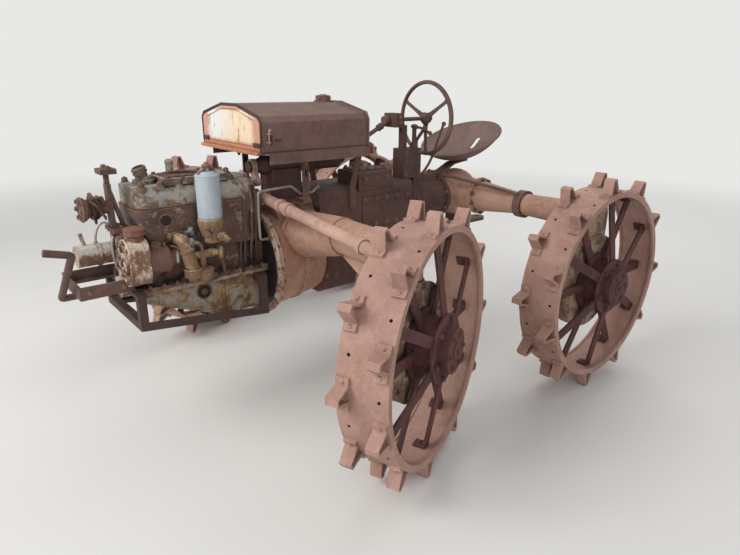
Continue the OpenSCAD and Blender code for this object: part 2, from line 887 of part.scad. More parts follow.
module tank_rails() {
    color(rust_brown) at_axle() {
        both_sides() {
            block([rail_back, tank_half - rail_t, tank_z - rail_h],
                [rail_front, tank_half, tank_z]);
            block([rail_back, tank_half - 44, tank_z - rail_t],
                [rail_front, tank_half, tank_z]);
        }
        block([cross_x[0], -tank_half, cross_low], [cross_x[1], tank_half, tank_z - rail_t]);
        block([rail_back, -tank_half, cross_low], [rail_back + cross_t, tank_half,
            tank_z - rail_t]);
        block([rail_front, -tank_half, tank_z - rail_t], [tank_front + 18, tank_half, tank_z]);
    }
}

// The front posts stand on the housing's top, the rear ones lean out from the gearbox's sides
module tank_posts() {
    half = post_w / 2;
    front_y = 190;
    foot_z = hump_top - 20;
    rear_x = rail_back + cross_t + half + 1;
    under = tank_z - rail_t;
    lean_y = tank_half - 44;
    color(rust_brown) at_axle() both_sides() {
        section_y(front_y, front_y + rail_t)
            polygon([[-12 - half, foot_z], [-12 + half, foot_z], [-8 + half, cross_low],
                [-8 - half, cross_low]]);
        difference() {
            block([-40, stand_half, foot_z], [20, front_y + rail_t, foot_z + 10]);
            hump(seat_gap);
        }
        section_x(rear_x - half, rear_x + half)
            polygon([[box_half, 380], [box_half + rail_t, 380], [box_half + rail_t, deck_z],
                [lean_y + rail_t, under - 4], [lean_y + rail_t, under], [lean_y, under],
                [box_half, deck_z + 3]]);
    }
}

// Steering shaft, control column and steering wheel
hub_x = neck_x - 199;
wheel_y = 50;
bearing = [neck_x + 28, neck_x + 85];
joint_x = neck_x + 90;
joint_len = 30;
shaft_r = 11;
gear_back_x = -330;

module steering_shaft() {
    joint = [joint_x + 16, wheel_y, steer_z - 14];
    color(rust_brown) at_axle() difference() {
        union() {
            bar([gear_back_x, 0, gear_z], joint, shaft_r);
            translate([0, wheel_y, steer_z]) along_x(joint_x, joint_x + joint_len, 22);
        }
        block([gear_back_x, -60, gear_z - 60], [0, 60, gear_z + 60]);
        translate([0, wheel_y, steer_z]) along_x(joint_x - 1, joint_x + 16, shaft_r + run_gap);
    }
}

module steering_wheel() {
    ring = steer_dia / 2 - steer_rim / 2;
    color(rust_brown) at_axle() translate([hub_x, wheel_y, steer_z]) {
        rotate([0, 90, 0]) rotate_extrude($fn = 72) translate([ring, 0]) circle(
            r = steer_rim / 2);
        along_x(-22, 26, 30);
        along_x(20, joint_x + 11 - hub_x, shaft_r);
        for (a = [35, 155, 275]) rotate([a, 0, 0]) bar([0, 0, 20], [0, 0, ring], 10);
    }
}

// The upright with the hand wheel's bearing, and the lever box beside it
module control_column() {
    post = [neck_x + 2, neck_x + 38];
    lever_box = [neck_x - 90, neck_x + 38];
    box_top = 640;
    foot = [neck_x - 122, neck_x - 42];
    lever_x = neck_x - 62;
    color(rust_brown) at_axle() {
        block([post[0], 82, deck_z], [post[1], 110, steer_z - 26]);
        difference() {
            block([bearing[0], wheel_y - 34, steer_z - 36],
                [bearing[1], wheel_y + 62, steer_z + 36]);
            translate([0, wheel_y, steer_z])
                along_x(bearing[0] - 1, bearing[1] + 1, shaft_r + run_gap);
        }
        block([lever_box[0], 40, deck_z], [lever_box[1], 130, box_top]);
        difference() {
            block([foot[0], 60, 320], [foot[1], 128, deck_z + 20]);
            rear_neck(seat_gap);
        }
        translate([lever_x, 100, box_top]) cylinder(h = 110, r = 12);
        bar([lever_x - 20, 60, box_top - 4], [lever_x - 110, 66, box_top + 95], 9);
    }
}

seat_x = rear_dx - 75;
seat_low = 551;
seat_rise = pan_curve * cos(seat_lean);
seat_fore = pan_curve * sin(seat_lean);

module pan_ball(r) {
    translate([seat_x + seat_fore, 0, seat_low + seat_rise]) sphere(r = r, $fn = 96);
}

module seat() {
    slot_w = 32;
    slot_len = 60;
    color(rust_brown) at_axle() difference() {
        pan_ball(pan_curve);
        pan_ball(pan_curve - seat_t);
        translate([seat_x, 0, seat_low]) rotate([0, seat_lean, 0]) {
            difference() {
                translate([0, 0, -20]) cylinder(h = 2 * pan_curve + 40, r = pan_curve + 20);
                translate([0, 0, -30]) cylinder(h = 200, r = seat_r);
            }
            for (x = [-slot_len / 2, slot_len / 2])
                translate([x - 118, 0, -20]) cylinder(h = 90, r = slot_w / 2);
            block([-118 - slot_len / 2, -slot_w / 2, -20], [-118 + slot_len / 2, slot_w / 2, 70]);
        }
    }
}

// A flat spring from the neck to the pad that the seat is bolted to
module seat_spring() {
    start = rear_dx + 350;
    neck_top = 458;
    end = seat_x;
    color(rust_brown) at_axle() {
        section_y(-spring_w / 2, spring_w / 2)
            polygon([[start, neck_top], [start - 185, neck_top], [start - 229, 470],
                [start - 309, 508], [end, 522], [end, 533], [start - 305, 519],
                [start - 223, 482], [start - 183, neck_top + 11], [start, neck_top + 11]]);
        difference() {
            block([start - 145, -40, 420], [start, 40, neck_top]);
            rear_neck(seat_gap);
        }
        difference() {
            block([end + 6, -28, 524], [end + 56, 28, 566]);
            pan_ball(pan_curve + seat_gap);
        }
    }
}

module drawbar() {
    pin_x = rear_dx - 245;
    bar_low = 118;
    bar_t = 22;
    bar_half = 45;
    hanger_t = 40;
    pin_r = 15;
    color(rust_brown) at_axle() {
        difference() {
            union() {
                block([pin_x, -bar_half, bar_low], [rear_dx + 255, bar_half, bar_low + bar_t]);
                translate([pin_x, 0, bar_low]) cylinder(h = bar_t, r = bar_half);
            }
            translate([pin_x, 0, bar_low - 18]) cylinder(h = 60, r = pin_r);
        }
        difference() {
            block([rear_dx + 205, -bar_half, bar_low + bar_t],
                [rear_dx + 205 + hanger_t, bar_half, 240]);
            rear_neck(seat_gap);
        }
        difference() {
            block([rear_dx - 20, -bar_half, bar_low + bar_t],
                [rear_dx - 20 + hanger_t, bar_half, 230]);
            translate([rear_dx, 0, drop - 5]) sphere(r = rear_bowl_r + seat_gap);
        }
    }
}

module vent_pipe() {
    pipe_r = 6;
    flange_x = bell_x + 1.4;
    color([0.7, 0.68, 0.62]) at_axle()
        bent_bar([[flange_x, 172, 300], [236, 182, 304], [242, 190, 420], [240, 192, 524],
            [60, 177, 528], [4, 174, 482], [-70, 160, 484], [-132, 120, 502],
            [-132, 120, deck_z]], pipe_r);
}

module brake_rod() {
    rod_x = rear_dx + 181;
    lug_t = 24;
    lever_y = 500;
    color(dark) at_axle() {
        bar([rod_x, 60, 462], [rear_dx + 55, lever_y + 23, 398], 9);
        difference() {
            block([rod_x - 10, 60 - lug_t / 2, 430], [rod_x + 12, 60 + lug_t / 2, 470]);
            rear_neck(seat_gap);
        }
        translate([rear_dx, lever_y, drop - 5]) difference() {
            along_y(0, 46, 76);
            along_y(-1, 47, rear_waist_r + 1.6);
        }
    }
}

module place_rim(end, side) {
    color(rust_pink) place_wheel(end, side) wheel_rim();
}

module place_hub(end, side) {
    color(dark_red) place_wheel(end, side) wheel_hub();
}

place_rim(1, 1);  // rim_front_left
place_rim(1, -1);  // rim_front_right
place_rim(0, 1);  // rim_rear_left
place_rim(0, -1);  // rim_rear_right
place_hub(1, 1);  // hub_front_left
place_hub(1, -1);  // hub_front_right
place_hub(0, 1);  // hub_rear_left
place_hub(0, -1);  // hub_rear_right
color(cream) place_knuckle(1);  // knuckle_left
color(cream) place_knuckle(-1);  // knuckle_right
tie_rod();
pitman_arm();
steering_wheel();
front_axle();
rear_axle();
rear_drop_cases();
bell_housing();
gearbox();
engine_block();
cylinder_head();
oil_pan();
gear_cover();
magneto();
oil_filler();
carburettor();
canister();
starter();
fan_hub();
radiator_bracket();
front_bracket();
hand_crank();
lower_frame();
fuel_tank();
tank_rails();
tank_posts();
steering_gear();
steering_shaft();
control_column();
seat();
seat_spring();
drawbar();
vent_pipe();
brake_rod();
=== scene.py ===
"""Looks of a vintage four wheel drive tractor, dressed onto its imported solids.

The solids give every main shape. This script adds bolts, rivets, pipes, beads and caps, and a
weathered finish for every piece. Lengths are in metres in the tractor's own frame, or in
millimetres from the front axle line at hub height where a name or a docstring says so.
"""

import logging
import math
from collections.abc import Iterable, Iterator, Sequence
from dataclasses import dataclass
from enum import Enum

import bmesh
import bpy
from mathutils import Matrix, Vector


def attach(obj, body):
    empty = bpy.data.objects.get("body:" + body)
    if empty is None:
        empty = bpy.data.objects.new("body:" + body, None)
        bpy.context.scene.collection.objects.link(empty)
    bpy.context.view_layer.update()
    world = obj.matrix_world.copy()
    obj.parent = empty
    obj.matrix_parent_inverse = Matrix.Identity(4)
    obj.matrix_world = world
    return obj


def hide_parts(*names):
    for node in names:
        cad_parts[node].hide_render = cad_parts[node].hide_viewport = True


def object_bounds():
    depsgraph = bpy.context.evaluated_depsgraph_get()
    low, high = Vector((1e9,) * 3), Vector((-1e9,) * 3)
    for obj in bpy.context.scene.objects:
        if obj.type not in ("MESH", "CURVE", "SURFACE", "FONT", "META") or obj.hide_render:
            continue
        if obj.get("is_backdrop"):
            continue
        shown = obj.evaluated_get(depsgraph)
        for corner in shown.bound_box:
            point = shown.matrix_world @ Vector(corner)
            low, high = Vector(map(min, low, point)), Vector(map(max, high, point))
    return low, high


LOG = logging.getLogger("tractor")
FRONT_X = 0.3533
HUB_Z = 0.55377
MM = 0.001
UP = Vector((0.0, 0.0, 1.0))
AHEAD = Vector((1.0, 0.0, 0.0))
LEFT = Vector((0.0, 1.0, 0.0))

# Places in millimetres from the front axle line at hub height, and the rest turn in degrees
REAR_X = -1255.0
REAR_FACE_Y = 1090.0
DROP_Z = 335.0
KINGPIN_Y = 890.0
WHEEL_OUT = 171.0
REST_TURN = 21.5
POST_Y = 199.0

# How far a small form is sunk into what carries it, the height of a washer, where a bolt's head
# starts on it, and the angle in degrees from which an edge is shaded sharp
SINK = 0.001
WASHER = 0.0026
HEAD_AT = 0.0022
SHARP_ANGLE = 38.0

# Sizes of a finish's noise in metres, from broad to fine
CLOUD = 0.26
MOTTLE = 0.030
SPECK = 0.006
PITTING = 0.0035
GRAIN = 0.0022

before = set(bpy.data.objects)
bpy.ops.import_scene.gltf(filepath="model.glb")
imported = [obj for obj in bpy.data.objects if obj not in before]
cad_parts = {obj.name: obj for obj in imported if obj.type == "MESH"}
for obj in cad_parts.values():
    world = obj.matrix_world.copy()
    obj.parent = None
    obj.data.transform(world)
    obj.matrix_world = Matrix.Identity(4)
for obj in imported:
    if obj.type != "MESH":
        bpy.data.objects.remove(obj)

Tone = tuple[int, int, int]
Triple = tuple[float, float, float]
Socket = bpy.types.NodeSocket


class Body(str, Enum):
    """Moving bodies of the tractor that a piece can ride on."""

    CHASSIS = "chassis"
    FRONT_LEFT = "wheel_front_left"
    FRONT_RIGHT = "wheel_front_right"
    REAR_LEFT = "wheel_rear_left"
    REAR_RIGHT = "wheel_rear_right"
    KNUCKLE_LEFT = "left_knuckle"
    KNUCKLE_RIGHT = "right_knuckle"
    ROD = "track_rod"
    ARM = "drop_arm"
    HAND_WHEEL = "hand_wheel"


class Side(Enum):
    """Side of the tractor, by the sign of Y."""

    LEFT = 1
    RIGHT = -1


def linear(tone: Tone) -> tuple[float, float, float, float]:
    """Turn a screen tone into linear light.

    Args:
        tone: Red, green and blue from 0 to 255.

    Returns:
        Linear red, green, blue and an alpha of one.
    """
    out = [(c / 255 / 12.92) if c <= 10 else ((c / 255 + 0.055) / 1.055) ** 2.4 for c in tone]
    return (out[0], out[1], out[2], 1.0)


def at(x: float, y: float, z: float) -> Vector:
    """Place in metres of a point given in millimetres from the front axle at hub height."""
    return Vector((FRONT_X + x * MM, y * MM, HUB_Z + z * MM))


def place_new(name: str, data: bpy.types.ID) -> bpy.types.Object:
    """Add an object with the given data to the scene."""
    made = bpy.data.objects.new(name, data)
    bpy.context.scene.collection.objects.link(made)
    return made


def facing(point: Vector, axis: Vector) -> Matrix:
    """Matrix that puts local Z along an axis at a point.

    Args:
        point: Where the local origin goes.
        axis: Direction of local Z.

    Returns:
        The placing matrix.
    """
    turn = axis.normalized().to_track_quat("Z", "Y").to_matrix().to_4x4()
    return Matrix.Translation(point) @ turn


def circle(radius: float, steps: int) -> list[tuple[float, float]]:
    """Points of a circle round the origin, from the first axis towards the second."""
    return [(radius * math.cos(math.tau * k / steps), radius * math.sin(math.tau * k / steps))
            for k in range(steps)]


class Graph:
    """A material's or a world's node tree with short calls to add and link nodes."""

    def __init__(self, name: str, world: bool = False) -> None:
        """Start an empty node material or world.

        Args:
            name: Name of the material or world.
            world: Whether it is a world.
        """
        self.owner = (bpy.data.worlds if world else bpy.data.materials).new(name)
        self.owner.use_nodes = True
        self.tree = self.owner.node_tree
        self.tree.nodes.clear()

    def node(self, kind: str, inputs: dict | None = None, **values: object) -> bpy.types.Node:
        """Add a node.

        Args:
            kind: Blender's type name of the node, after its common start.
            inputs: Socket names or indices with a value or an output socket each.
            values: Properties of the node.

        Returns:
            The new node.
        """
        made = self.tree.nodes.new("ShaderNode" + kind)
        for key, value in values.items():
            setattr(made, key, value)
        for key, value in (inputs or {}).items():
            if isinstance(value, Socket):
                self.tree.links.new(value, made.inputs[key])
            else:
                made.inputs[key].default_value = value
        return made

    def noise(self, where: Socket, size: float, detail: float = 6.0,
              rough: float = 0.6, warp: float = 0.0) -> Socket:
        """Noise whose spots are about a given size in metres.

        Args:
            where: Coordinates.
            size: Size of the spots in metres.
            detail: Octaves.
            rough: Weight of the finer octaves.
            warp: Distortion.

        Returns:
            The factor socket.
        """
        made = self.node("TexNoise", {
            "Vector": where, "Scale": 1.0 / size, "Detail": detail,
            "Roughness": rough, "Distortion": warp})
        return made.outputs["Fac"]

    def pulled(self, where: Socket, squeeze: float) -> Socket:
        """Coordinates whose spots are drawn out upwards, the more the smaller the squeeze."""
        return self.node("Mapping", {"Vector": where, "Scale": (1.0, 1.0, squeeze)}).outputs[0]

    def band(self, value: Socket, low: float, high: float,
             to_low: float = 0.0, to_high: float = 1.0) -> Socket:
        """Map a range of a value smoothly to another range.

        Args:
            value: What is mapped.
            low: Start of the range.
            high: End of the range.
            to_low: Result at the start.
            to_high: Result at the end.

        Returns:
            The result socket.
        """
        made = self.node("MapRange", {
            0: value, 1: low, 2: high, 3: to_low, 4: to_high},
            interpolation_type="SMOOTHSTEP")
        return made.outputs[0]

    def calc(self, kind: str, a: Socket, b: Socket | float = 0.0) -> Socket:
        """Result of one step of arithmetic, named as Blender's math node names it."""
        return self.node("Math", {0: a, 1: b}, operation=kind).outputs[0]

    def times(self, a: Socket, b: Socket | float) -> Socket:
        """Product of two values."""
        return self.calc("MULTIPLY", a, b)

    def plus(self, a: Socket, b: Socket | float) -> Socket:
        """Sum of two values."""
        return self.calc("ADD", a, b)

    def seen(self) -> Socket:
        """One for rays of the camera, of gloss and of transmission, and nought for others."""
        ray = self.node("LightPath").outputs
        gloss = self.calc("MAXIMUM", ray["Is Camera Ray"], ray["Is Glossy Ray"])
        return self.calc("MAXIMUM", gloss, ray["Is Transmission Ray"])

    def mix(self, share: Socket, a: object, b: object) -> Socket:
        """Mix two colours.

        Args:
            share: How much of the second.
            a: First colour or socket.
            b: Second colour or socket.

        Returns:
            The colour socket.
        """
        made = self.node("Mix", {0: share, 6: a, 7: b}, data_type="RGBA")
        return made.outputs[2]


@dataclass(frozen=True)
class Finish:
    """A weathered finish: tones that break up over the surface, wear, grime with painted shade in
    corners, and bump.

    Sizes are in metres and shares run from nought to one.
    """

    name: str
    base: Tone
    light: Tone
    dark: Tone
    patch: Tone
    patch_share: float = 0.3
    patch_size: float = 0.05
    streaks: float = 0.15
    edge: float = 0.5
    # Share of darkening in corners, which is painted shade mixed with grime
    corner_shade_and_grime: float = 0.55
    rough: tuple[float, float] = (0.62, 0.92)
    metal: float = 0.0
    bump: float = 0.5
    pits: float = 0.35
    # Tone of run marks and grime, and of the painted shade in corners
    grime_and_shade_tone: Tone = (38, 27, 24)

    def material(self) -> bpy.types.Material:
        """Build the finish's node material once and return it.

        Returns:
            The material.
        """
        known = bpy.data.materials.get(self.name)
        if known:
            return known
        g = Graph(self.name)
        where = g.node("TexCoord").outputs["Object"]
        mid = g.noise(where, MOTTLE, 9.0, 0.68, 0.3)
        fine = g.noise(where, PITTING, 6.0, 0.64)
        colour = g.mix(g.band(g.noise(where, CLOUD, 5.0), 0.34, 0.66),
                       linear(self.dark), linear(self.base))
        colour = g.mix(g.times(g.band(mid, 0.42, 0.70), 0.42), colour, linear(self.light))
        edge_at = 0.66 - 0.34 * self.patch_share
        patches = g.band(g.noise(where, self.patch_size, 11.0, 0.72, 0.4), edge_at, edge_at + 0.13)
        colour = g.mix(g.times(patches, 0.50), colour, linear(self.patch))
        grain = g.noise(where, GRAIN, 7.0, 0.75)
        colour = g.mix(g.band(grain, 0.42, 0.70, 0.0, 0.34), colour, linear(self.light))
        colour = g.mix(g.band(grain, 0.58, 0.34, 0.0, 0.30), colour, linear(self.dark))
        specks = g.times(g.band(g.noise(where, SPECK, 7.0, 0.72), 0.52, 0.68), self.pits)
        colour = g.mix(specks, colour, linear(self.dark))
        colour = self.coat(g, where, colour)
        colour = self.add_streaks(g, where, colour)
        colour, worn = self.add_wear(g, colour, mid)
        height = g.plus(g.times(mid, 0.50), g.times(fine, 0.50))
        height = g.plus(height, g.times(patches, -0.12))
        bump = g.node("Bump", {"Strength": self.bump, "Distance": GRAIN, "Height": height})
        gloss = g.band(g.plus(g.times(fine, 0.5), g.times(mid, 0.5)), 0.38, 0.62,
                       self.rough[0], self.rough[1])
        gloss = g.calc("SUBTRACT", gloss, g.times(worn, 0.12))
        shader = g.node("BsdfPrincipled", {
            "Base Color": colour, "Roughness": gloss, "Metallic": self.metal,
            "Normal": bump.outputs[0], "Specular IOR Level": 0.35})
        g.node("OutputMaterial", {"Surface": shader.outputs[0]})
        return g.owner

    def coat(self, g: Graph, where: Socket, colour: Socket) -> Socket:
        """Colour with what lies over the rust, which on bare rust is nothing."""
        return colour

    def add_streaks(self, g: Graph, where: Socket, colour: Socket) -> Socket:
        """Lay run marks down the surface.

        Args:
            g: The material's graph.
            where: Coordinates.
            colour: Colour so far.

        Returns:
            The streaked colour.
        """
        if self.streaks <= 0:
            return colour
        runs = g.band(g.noise(g.pulled(where, 0.12), 0.011, 5.0, 0.6), 0.50, 0.68)
        return g.mix(g.times(runs, self.streaks), colour, linear(self.grime_and_shade_tone))

    def add_wear(self, g: Graph, colour: Socket, mid: Socket) -> tuple[Socket, Socket]:
        """Darken corners with painted shade mixed with grime, and lighten worn edges.

        Args:
            g: The material's graph.
            colour: Colour so far.
            mid: Noise that breaks the wear up.

        Returns:
            The colour and the share of wear.
        """
        # Corners and hollows found by ambient occlusion go darker: painted shade, together with
        # grime
        corner = g.node("AmbientOcclusion", {"Distance": 0.05}, samples=6)
        corner_shade_and_dirt = g.band(corner.outputs["AO"], 0.72, 0.28)
        colour = g.mix(g.times(corner_shade_and_dirt, self.corner_shade_and_grime), colour, linear(self.grime_and_shade_tone))
        round_off = g.node("Bevel", {"Radius": 0.004}, samples=4)
        plain = g.node("NewGeometry").outputs["Normal"]
        alike = g.node("VectorMath", {0: round_off.outputs[0], 1: plain},
                       operation="DOT_PRODUCT").outputs["Value"]
        worn = g.times(g.band(alike, 0.985, 0.86), g.band(mid, 0.34, 0.56))
        worn = g.times(worn, self.edge)
        return g.mix(worn, colour, linear(self.light)), worn


@dataclass(frozen=True)
class OldPaint(Finish):
    """Rust under what is left of pale paint, with more paint kept on faces that point up as
    painted light on tops, and oil that has run down and gathered low.
    """

    paint: Tone = (206, 188, 154)
    chalk: Tone = (168, 182, 188)
    paint_share: float = 0.5
    chalk_share: float = 0.5
    paint_size: float = 0.07
    stain: float = 0.55
    oil: Tone = (34, 26, 23)
    oil_share: float = 0.4
    oil_low: float = 0.66
    oil_high: float = 0.98

    def coat(self, g: Graph, where: Socket, colour: Socket) -> Socket:
        """Lay the paint that is left over the rust, more of it on faces that point up as painted
        light on tops, then the oil over both.

        Args:
            g: The material's graph.
            where: Coordinates.
            colour: Colour of the rust.

        Returns:
            The colour with paint and oil.
        """
        # Paint left at random, plus painted light: faces that point up keep more pale paint, so
        # tops come out lighter as if lit from above
        normal = g.node("NewGeometry").outputs["Normal"]
        upward = g.node("SeparateXYZ", {0: normal}).outputs["Z"]
        paint_and_top_light = g.plus(g.noise(where, self.paint_size, 12.0, 0.74, 0.5),
                        g.band(upward, -0.5, 1.0, -0.03, 0.07))
        edge_at = 0.68 - 0.36 * self.paint_share
        left = g.band(paint_and_top_light, edge_at, edge_at + 0.10)
        chalk_at = 0.62 - 0.24 * self.chalk_share
        tone = g.mix(g.band(g.noise(where, 0.12, 6.0, 0.6), chalk_at, chalk_at + 0.10),
                     linear(self.paint), linear(self.chalk))
        stain = g.band(g.noise(where, 0.018, 9.0, 0.74), 0.42, 0.64)
        tone = g.mix(g.times(stain, self.stain), tone, linear(self.light))
        pores = g.band(g.noise(where, 0.0045, 7.0, 0.72), 0.54, 0.66)
        tone = g.mix(g.times(pores, 0.45), tone, linear(self.dark))
        colour = g.mix(g.times(left, 0.84), colour, tone)
        return self.add_oil(g, where, colour)

    def add_oil(self, g: Graph, where: Socket, colour: Socket) -> Socket:
        """Lay dark oil over the colour, thicker towards the lower height.

        Args:
            g: The material's graph.
            where: Coordinates.
            colour: Colour so far.

        Returns:
            The oiled colour.
        """
        height = g.node("SeparateXYZ", {0: where}).outputs["Z"]
        gathered = g.band(height, self.oil_high, self.oil_low, 0.0, 0.16)
        drips = g.plus(g.noise(g.pulled(where, 0.30), 0.05, 8.0, 0.62, 0.3), gathered)
        oil_at = 0.80 - 0.30 * self.oil_share
        return g.mix(g.times(g.band(drips, oil_at, oil_at + 0.09), 0.85), colour, linear(self.oil))


@dataclass(frozen=True)
class PanelPaint(Finish):
    """Pale paint that has rusted from its edges inwards, with an orange lower part."""

    middle: tuple[float, float] = (0.0, 1.346)
    half: tuple[float, float] = (0.262, 0.088)
    rim: Tone = (192, 136, 114)
    low: Tone = (184, 112, 76)
    white: Tone = (222, 224, 218)

    def coat(self, g: Graph, where: Socket, colour: Socket) -> Socket:
        """Rust the panel from its rim and its lower edge.

        Args:
            g: The material's graph.
            where: Coordinates.
            colour: Colour of the paint.

        Returns:
            The rusted colour.
        """
        parts = g.node("SeparateXYZ", {0: where}).outputs
        colour = g.mix(g.band(g.plus(parts["Y"], g.times(g.noise(where, 0.09, 5.0), 0.25)),
                              0.20, -0.02), colour, linear(self.white))
        drips = g.band(g.noise(g.pulled(where, 0.22), 0.020, 6.0, 0.66), 0.57, 0.66)
        colour = g.mix(g.times(drips, 0.80), colour, linear(self.grime_and_shade_tone))
        far = []
        for name, mid, half in (("Y", self.middle[0], self.half[0]),
                                ("Z", self.middle[1], self.half[1])):
            gap = g.calc("ABSOLUTE", g.calc("SUBTRACT", parts[name], mid))
            far.append(g.times(gap, 1 / half))
        rim = g.calc("MAXIMUM", *far)
        broken = g.plus(rim, g.times(g.noise(where, 0.05, 10.0, 0.72, 0.6), 0.70))
        colour = g.mix(g.times(g.band(broken, 1.02, 1.26), 0.90), colour, linear(self.rim))
        edge = self.middle[1] - self.half[1]
        low = g.plus(parts["Z"], g.times(g.noise(where, 0.03, 8.0, 0.7), -0.05))
        return g.mix(g.times(g.band(low, edge + 0.012, edge - 0.010), 0.9), colour,
                     linear(self.low))


TREAD = Finish("tread_rust_brown", (176, 139, 125), (198, 163, 149), (146, 111, 98),
               (158, 104, 82), 0.36, 0.060, 0.05, 0.55, 0.38, (0.62, 0.92), 0.0, 0.8, 0.5)
LUG_TIP = Finish("lug_rivet_rust", (174, 137, 123), (200, 166, 152), (132, 98, 87), (146, 104, 87),
                 0.25, 0.02, 0.0, 0.6, 0.4)
HUB = Finish("hub_faded_red", (88, 52, 51), (126, 87, 80), (60, 36, 37), (108, 46, 50),
             0.34, 0.05, 0.12, 0.55, 0.55)
CASE = OldPaint("case_old_cream", (136, 106, 86), (164, 134, 110), (98, 72, 60), (134, 88, 62),
                0.30, 0.05, 0.22, 0.40, 0.60, paint=(188, 165, 140), chalk=(172, 152, 132),
                paint_share=0.60, chalk_share=0.3, stain=0.5, oil_share=0.0, oil_low=0.05,
                oil_high=0.45)
CREAM = OldPaint("engine_old_cream", (105, 80, 68), (138, 111, 94), (70, 52, 46), (120, 82, 64),
                 0.34, 0.03, 0.25, 0.35, 0.85, (0.42, 0.82), paint=(168, 153, 130),
                 chalk=(148, 154, 152), paint_share=0.40, oil_share=0.44, paint_size=0.05)
HEAD = OldPaint("head_pale_blue", (124, 96, 78), (152, 128, 104), (84, 63, 52), (126, 88, 66),
                0.30, 0.03, 0.20, 0.35, 0.8, (0.42, 0.82), paint=(162, 161, 152),
                chalk=(140, 152, 159), paint_share=0.60, chalk_share=0.60, oil_share=0.22,
                oil_low=0.9, oil_high=1.05, stain=0.45)
PAN = OldPaint("pan_oily_cream", (124, 90, 66), (164, 128, 94), (82, 58, 44), (130, 86, 58),
               0.34, 0.04, 0.18, 0.3, 0.85, (0.36, 0.76), paint=(176, 158, 126),
               chalk=(160, 166, 167), paint_share=0.66, chalk_share=0.55, paint_size=0.12,
               oil_share=0.40, oil_low=0.46, oil_high=0.60, stain=0.6)
COVER = OldPaint("cover_pale_rust", (136, 98, 80), (172, 138, 118), (88, 62, 52), (146, 96, 72),
                 0.34, 0.03, 0.20, 0.4, 0.75, paint=(216, 202, 182), chalk=(200, 202, 200),
                 paint_share=0.60, chalk_share=0.5, oil_share=0.20, oil_low=0.66, oil_high=0.86)
BROWN = Finish("engine_brown_rust", (112, 83, 71), (150, 118, 101), (76, 55, 47), (134, 90, 70),
               0.30, 0.03, 0.18, 0.55, 0.75)
BRASS_RUST = OldPaint("intake_cream_rust", (130, 98, 74), (166, 136, 108), (88, 62, 48),
                      (146, 100, 72), 0.32, 0.03, 0.25, 0.4, 0.8, paint=(184, 166, 134),
                      chalk=(158, 156, 146), paint_share=0.34, oil_share=0.28)
RED_RUST = Finish("filler_red_rust", (130, 88, 74), (162, 118, 100), (92, 60, 50), (142, 92, 70),
                  0.30, 0.03, 0.10, 0.5, 0.6)
ORANGE = Finish("housing_orange_rust", (184, 145, 124), (206, 171, 151), (150, 110, 90),
                (176, 118, 84), 0.30, 0.12, 0.10, 0.40, 0.50)
DARK = Finish("housing_dark_rust", (98, 71, 65), (126, 98, 89), (72, 51, 48), (108, 73, 60),
              0.26, 0.07, 0.18, 0.5, 0.65)
TANK = Finish("tank_brown_rust", (118, 91, 84), (144, 117, 108), (92, 68, 63), (122, 85, 72),
              0.24, 0.12, 0.12, 0.45, 0.45)
HEM = Finish("tank_hem_dark", (74, 53, 50), (106, 80, 73), (50, 37, 35), (90, 60, 50),
             0.26, 0.05, 0.0, 0.4, 0.5)
TANK_CREAM = PanelPaint("tank_front_cream", (230, 208, 174), (238, 226, 202), (216, 188, 150),
                        (212, 166, 124), 0.22, 0.06, 0.06, 0.2, 0.85, (0.4, 0.7), 0.0, 0.25, 0.20,
                        (164, 100, 66))
LIP = Finish("tank_lip_orange", (190, 128, 94), (208, 154, 122), (154, 96, 70), (160, 96, 66),
             0.30, 0.05, 0.12, 0.4, 0.5)
FRAME = Finish("frame_brown_rust", (108, 81, 72), (142, 113, 101), (76, 55, 50), (126, 86, 68),
               0.26, 0.04, 0.12, 0.55, 0.60)
UNDER = Finish("under_frame_dark", (74, 57, 51), (108, 86, 76), (48, 37, 33), (90, 62, 50),
               0.26, 0.04, 0.12, 0.45, 0.60)
CANISTER = Finish("canister_pale_blue", (168, 179, 186), (190, 199, 204), (142, 151, 156),
                  (170, 160, 140), 0.12, 0.05, 0.12, 0.3, 0.7, (0.35, 0.6), 0.0, 0.18, 0.25,
                  (104, 84, 62))
BLUE_GREY = OldPaint("fittings_blue_grey", (112, 98, 88), (146, 140, 134), (70, 60, 55),
                     (122, 92, 74), 0.3, 0.02, 0.1, 0.4, 0.8, paint=(146, 158, 166),
                     chalk=(130, 146, 158), paint_share=0.62, paint_size=0.03, oil_share=0.2)
CUP = OldPaint("cup_yellow_brown", (140, 110, 78), (172, 144, 106), (98, 72, 50), (114, 77, 54),
               0.34, 0.03, 0.25, 0.4, 0.8, paint=(190, 176, 144), chalk=(172, 168, 154),
               paint_share=0.34, oil_share=0.1, paint_size=0.04)
PIPE = Finish("pipe_dull_pale", (168, 162, 154), (196, 192, 184), (130, 120, 110), (140, 110, 90),
              0.20, 0.02, 0.1, 0.3, 0.5, (0.35, 0.6), 0.4)
LINK = Finish("linkage_pink_rust", (190, 152, 136), (210, 177, 161), (154, 119, 104),
              (152, 108, 90), 0.24, 0.06, 0.06, 0.5, 0.40)
BOLT = Finish("bolt_dark_rust", (110, 82, 72), (154, 124, 108), (72, 52, 46), (130, 90, 70),
              0.30, 0.015, 0.0, 0.7, 0.6)
OIL = Finish("oil_black", (38, 31, 29), (60, 49, 44), (24, 20, 19), (58, 42, 34),
             0.2, 0.03, 0.0, 0.2, 0.3, (0.35, 0.7), 0.0, 0.3)
HOSE = Finish("hose_black", (38, 36, 36), (66, 62, 60), (24, 22, 22), (64, 52, 44),
              0.12, 0.02, 0.0, 0.2, 0.4, (0.5, 0.75), 0.0, 0.3)
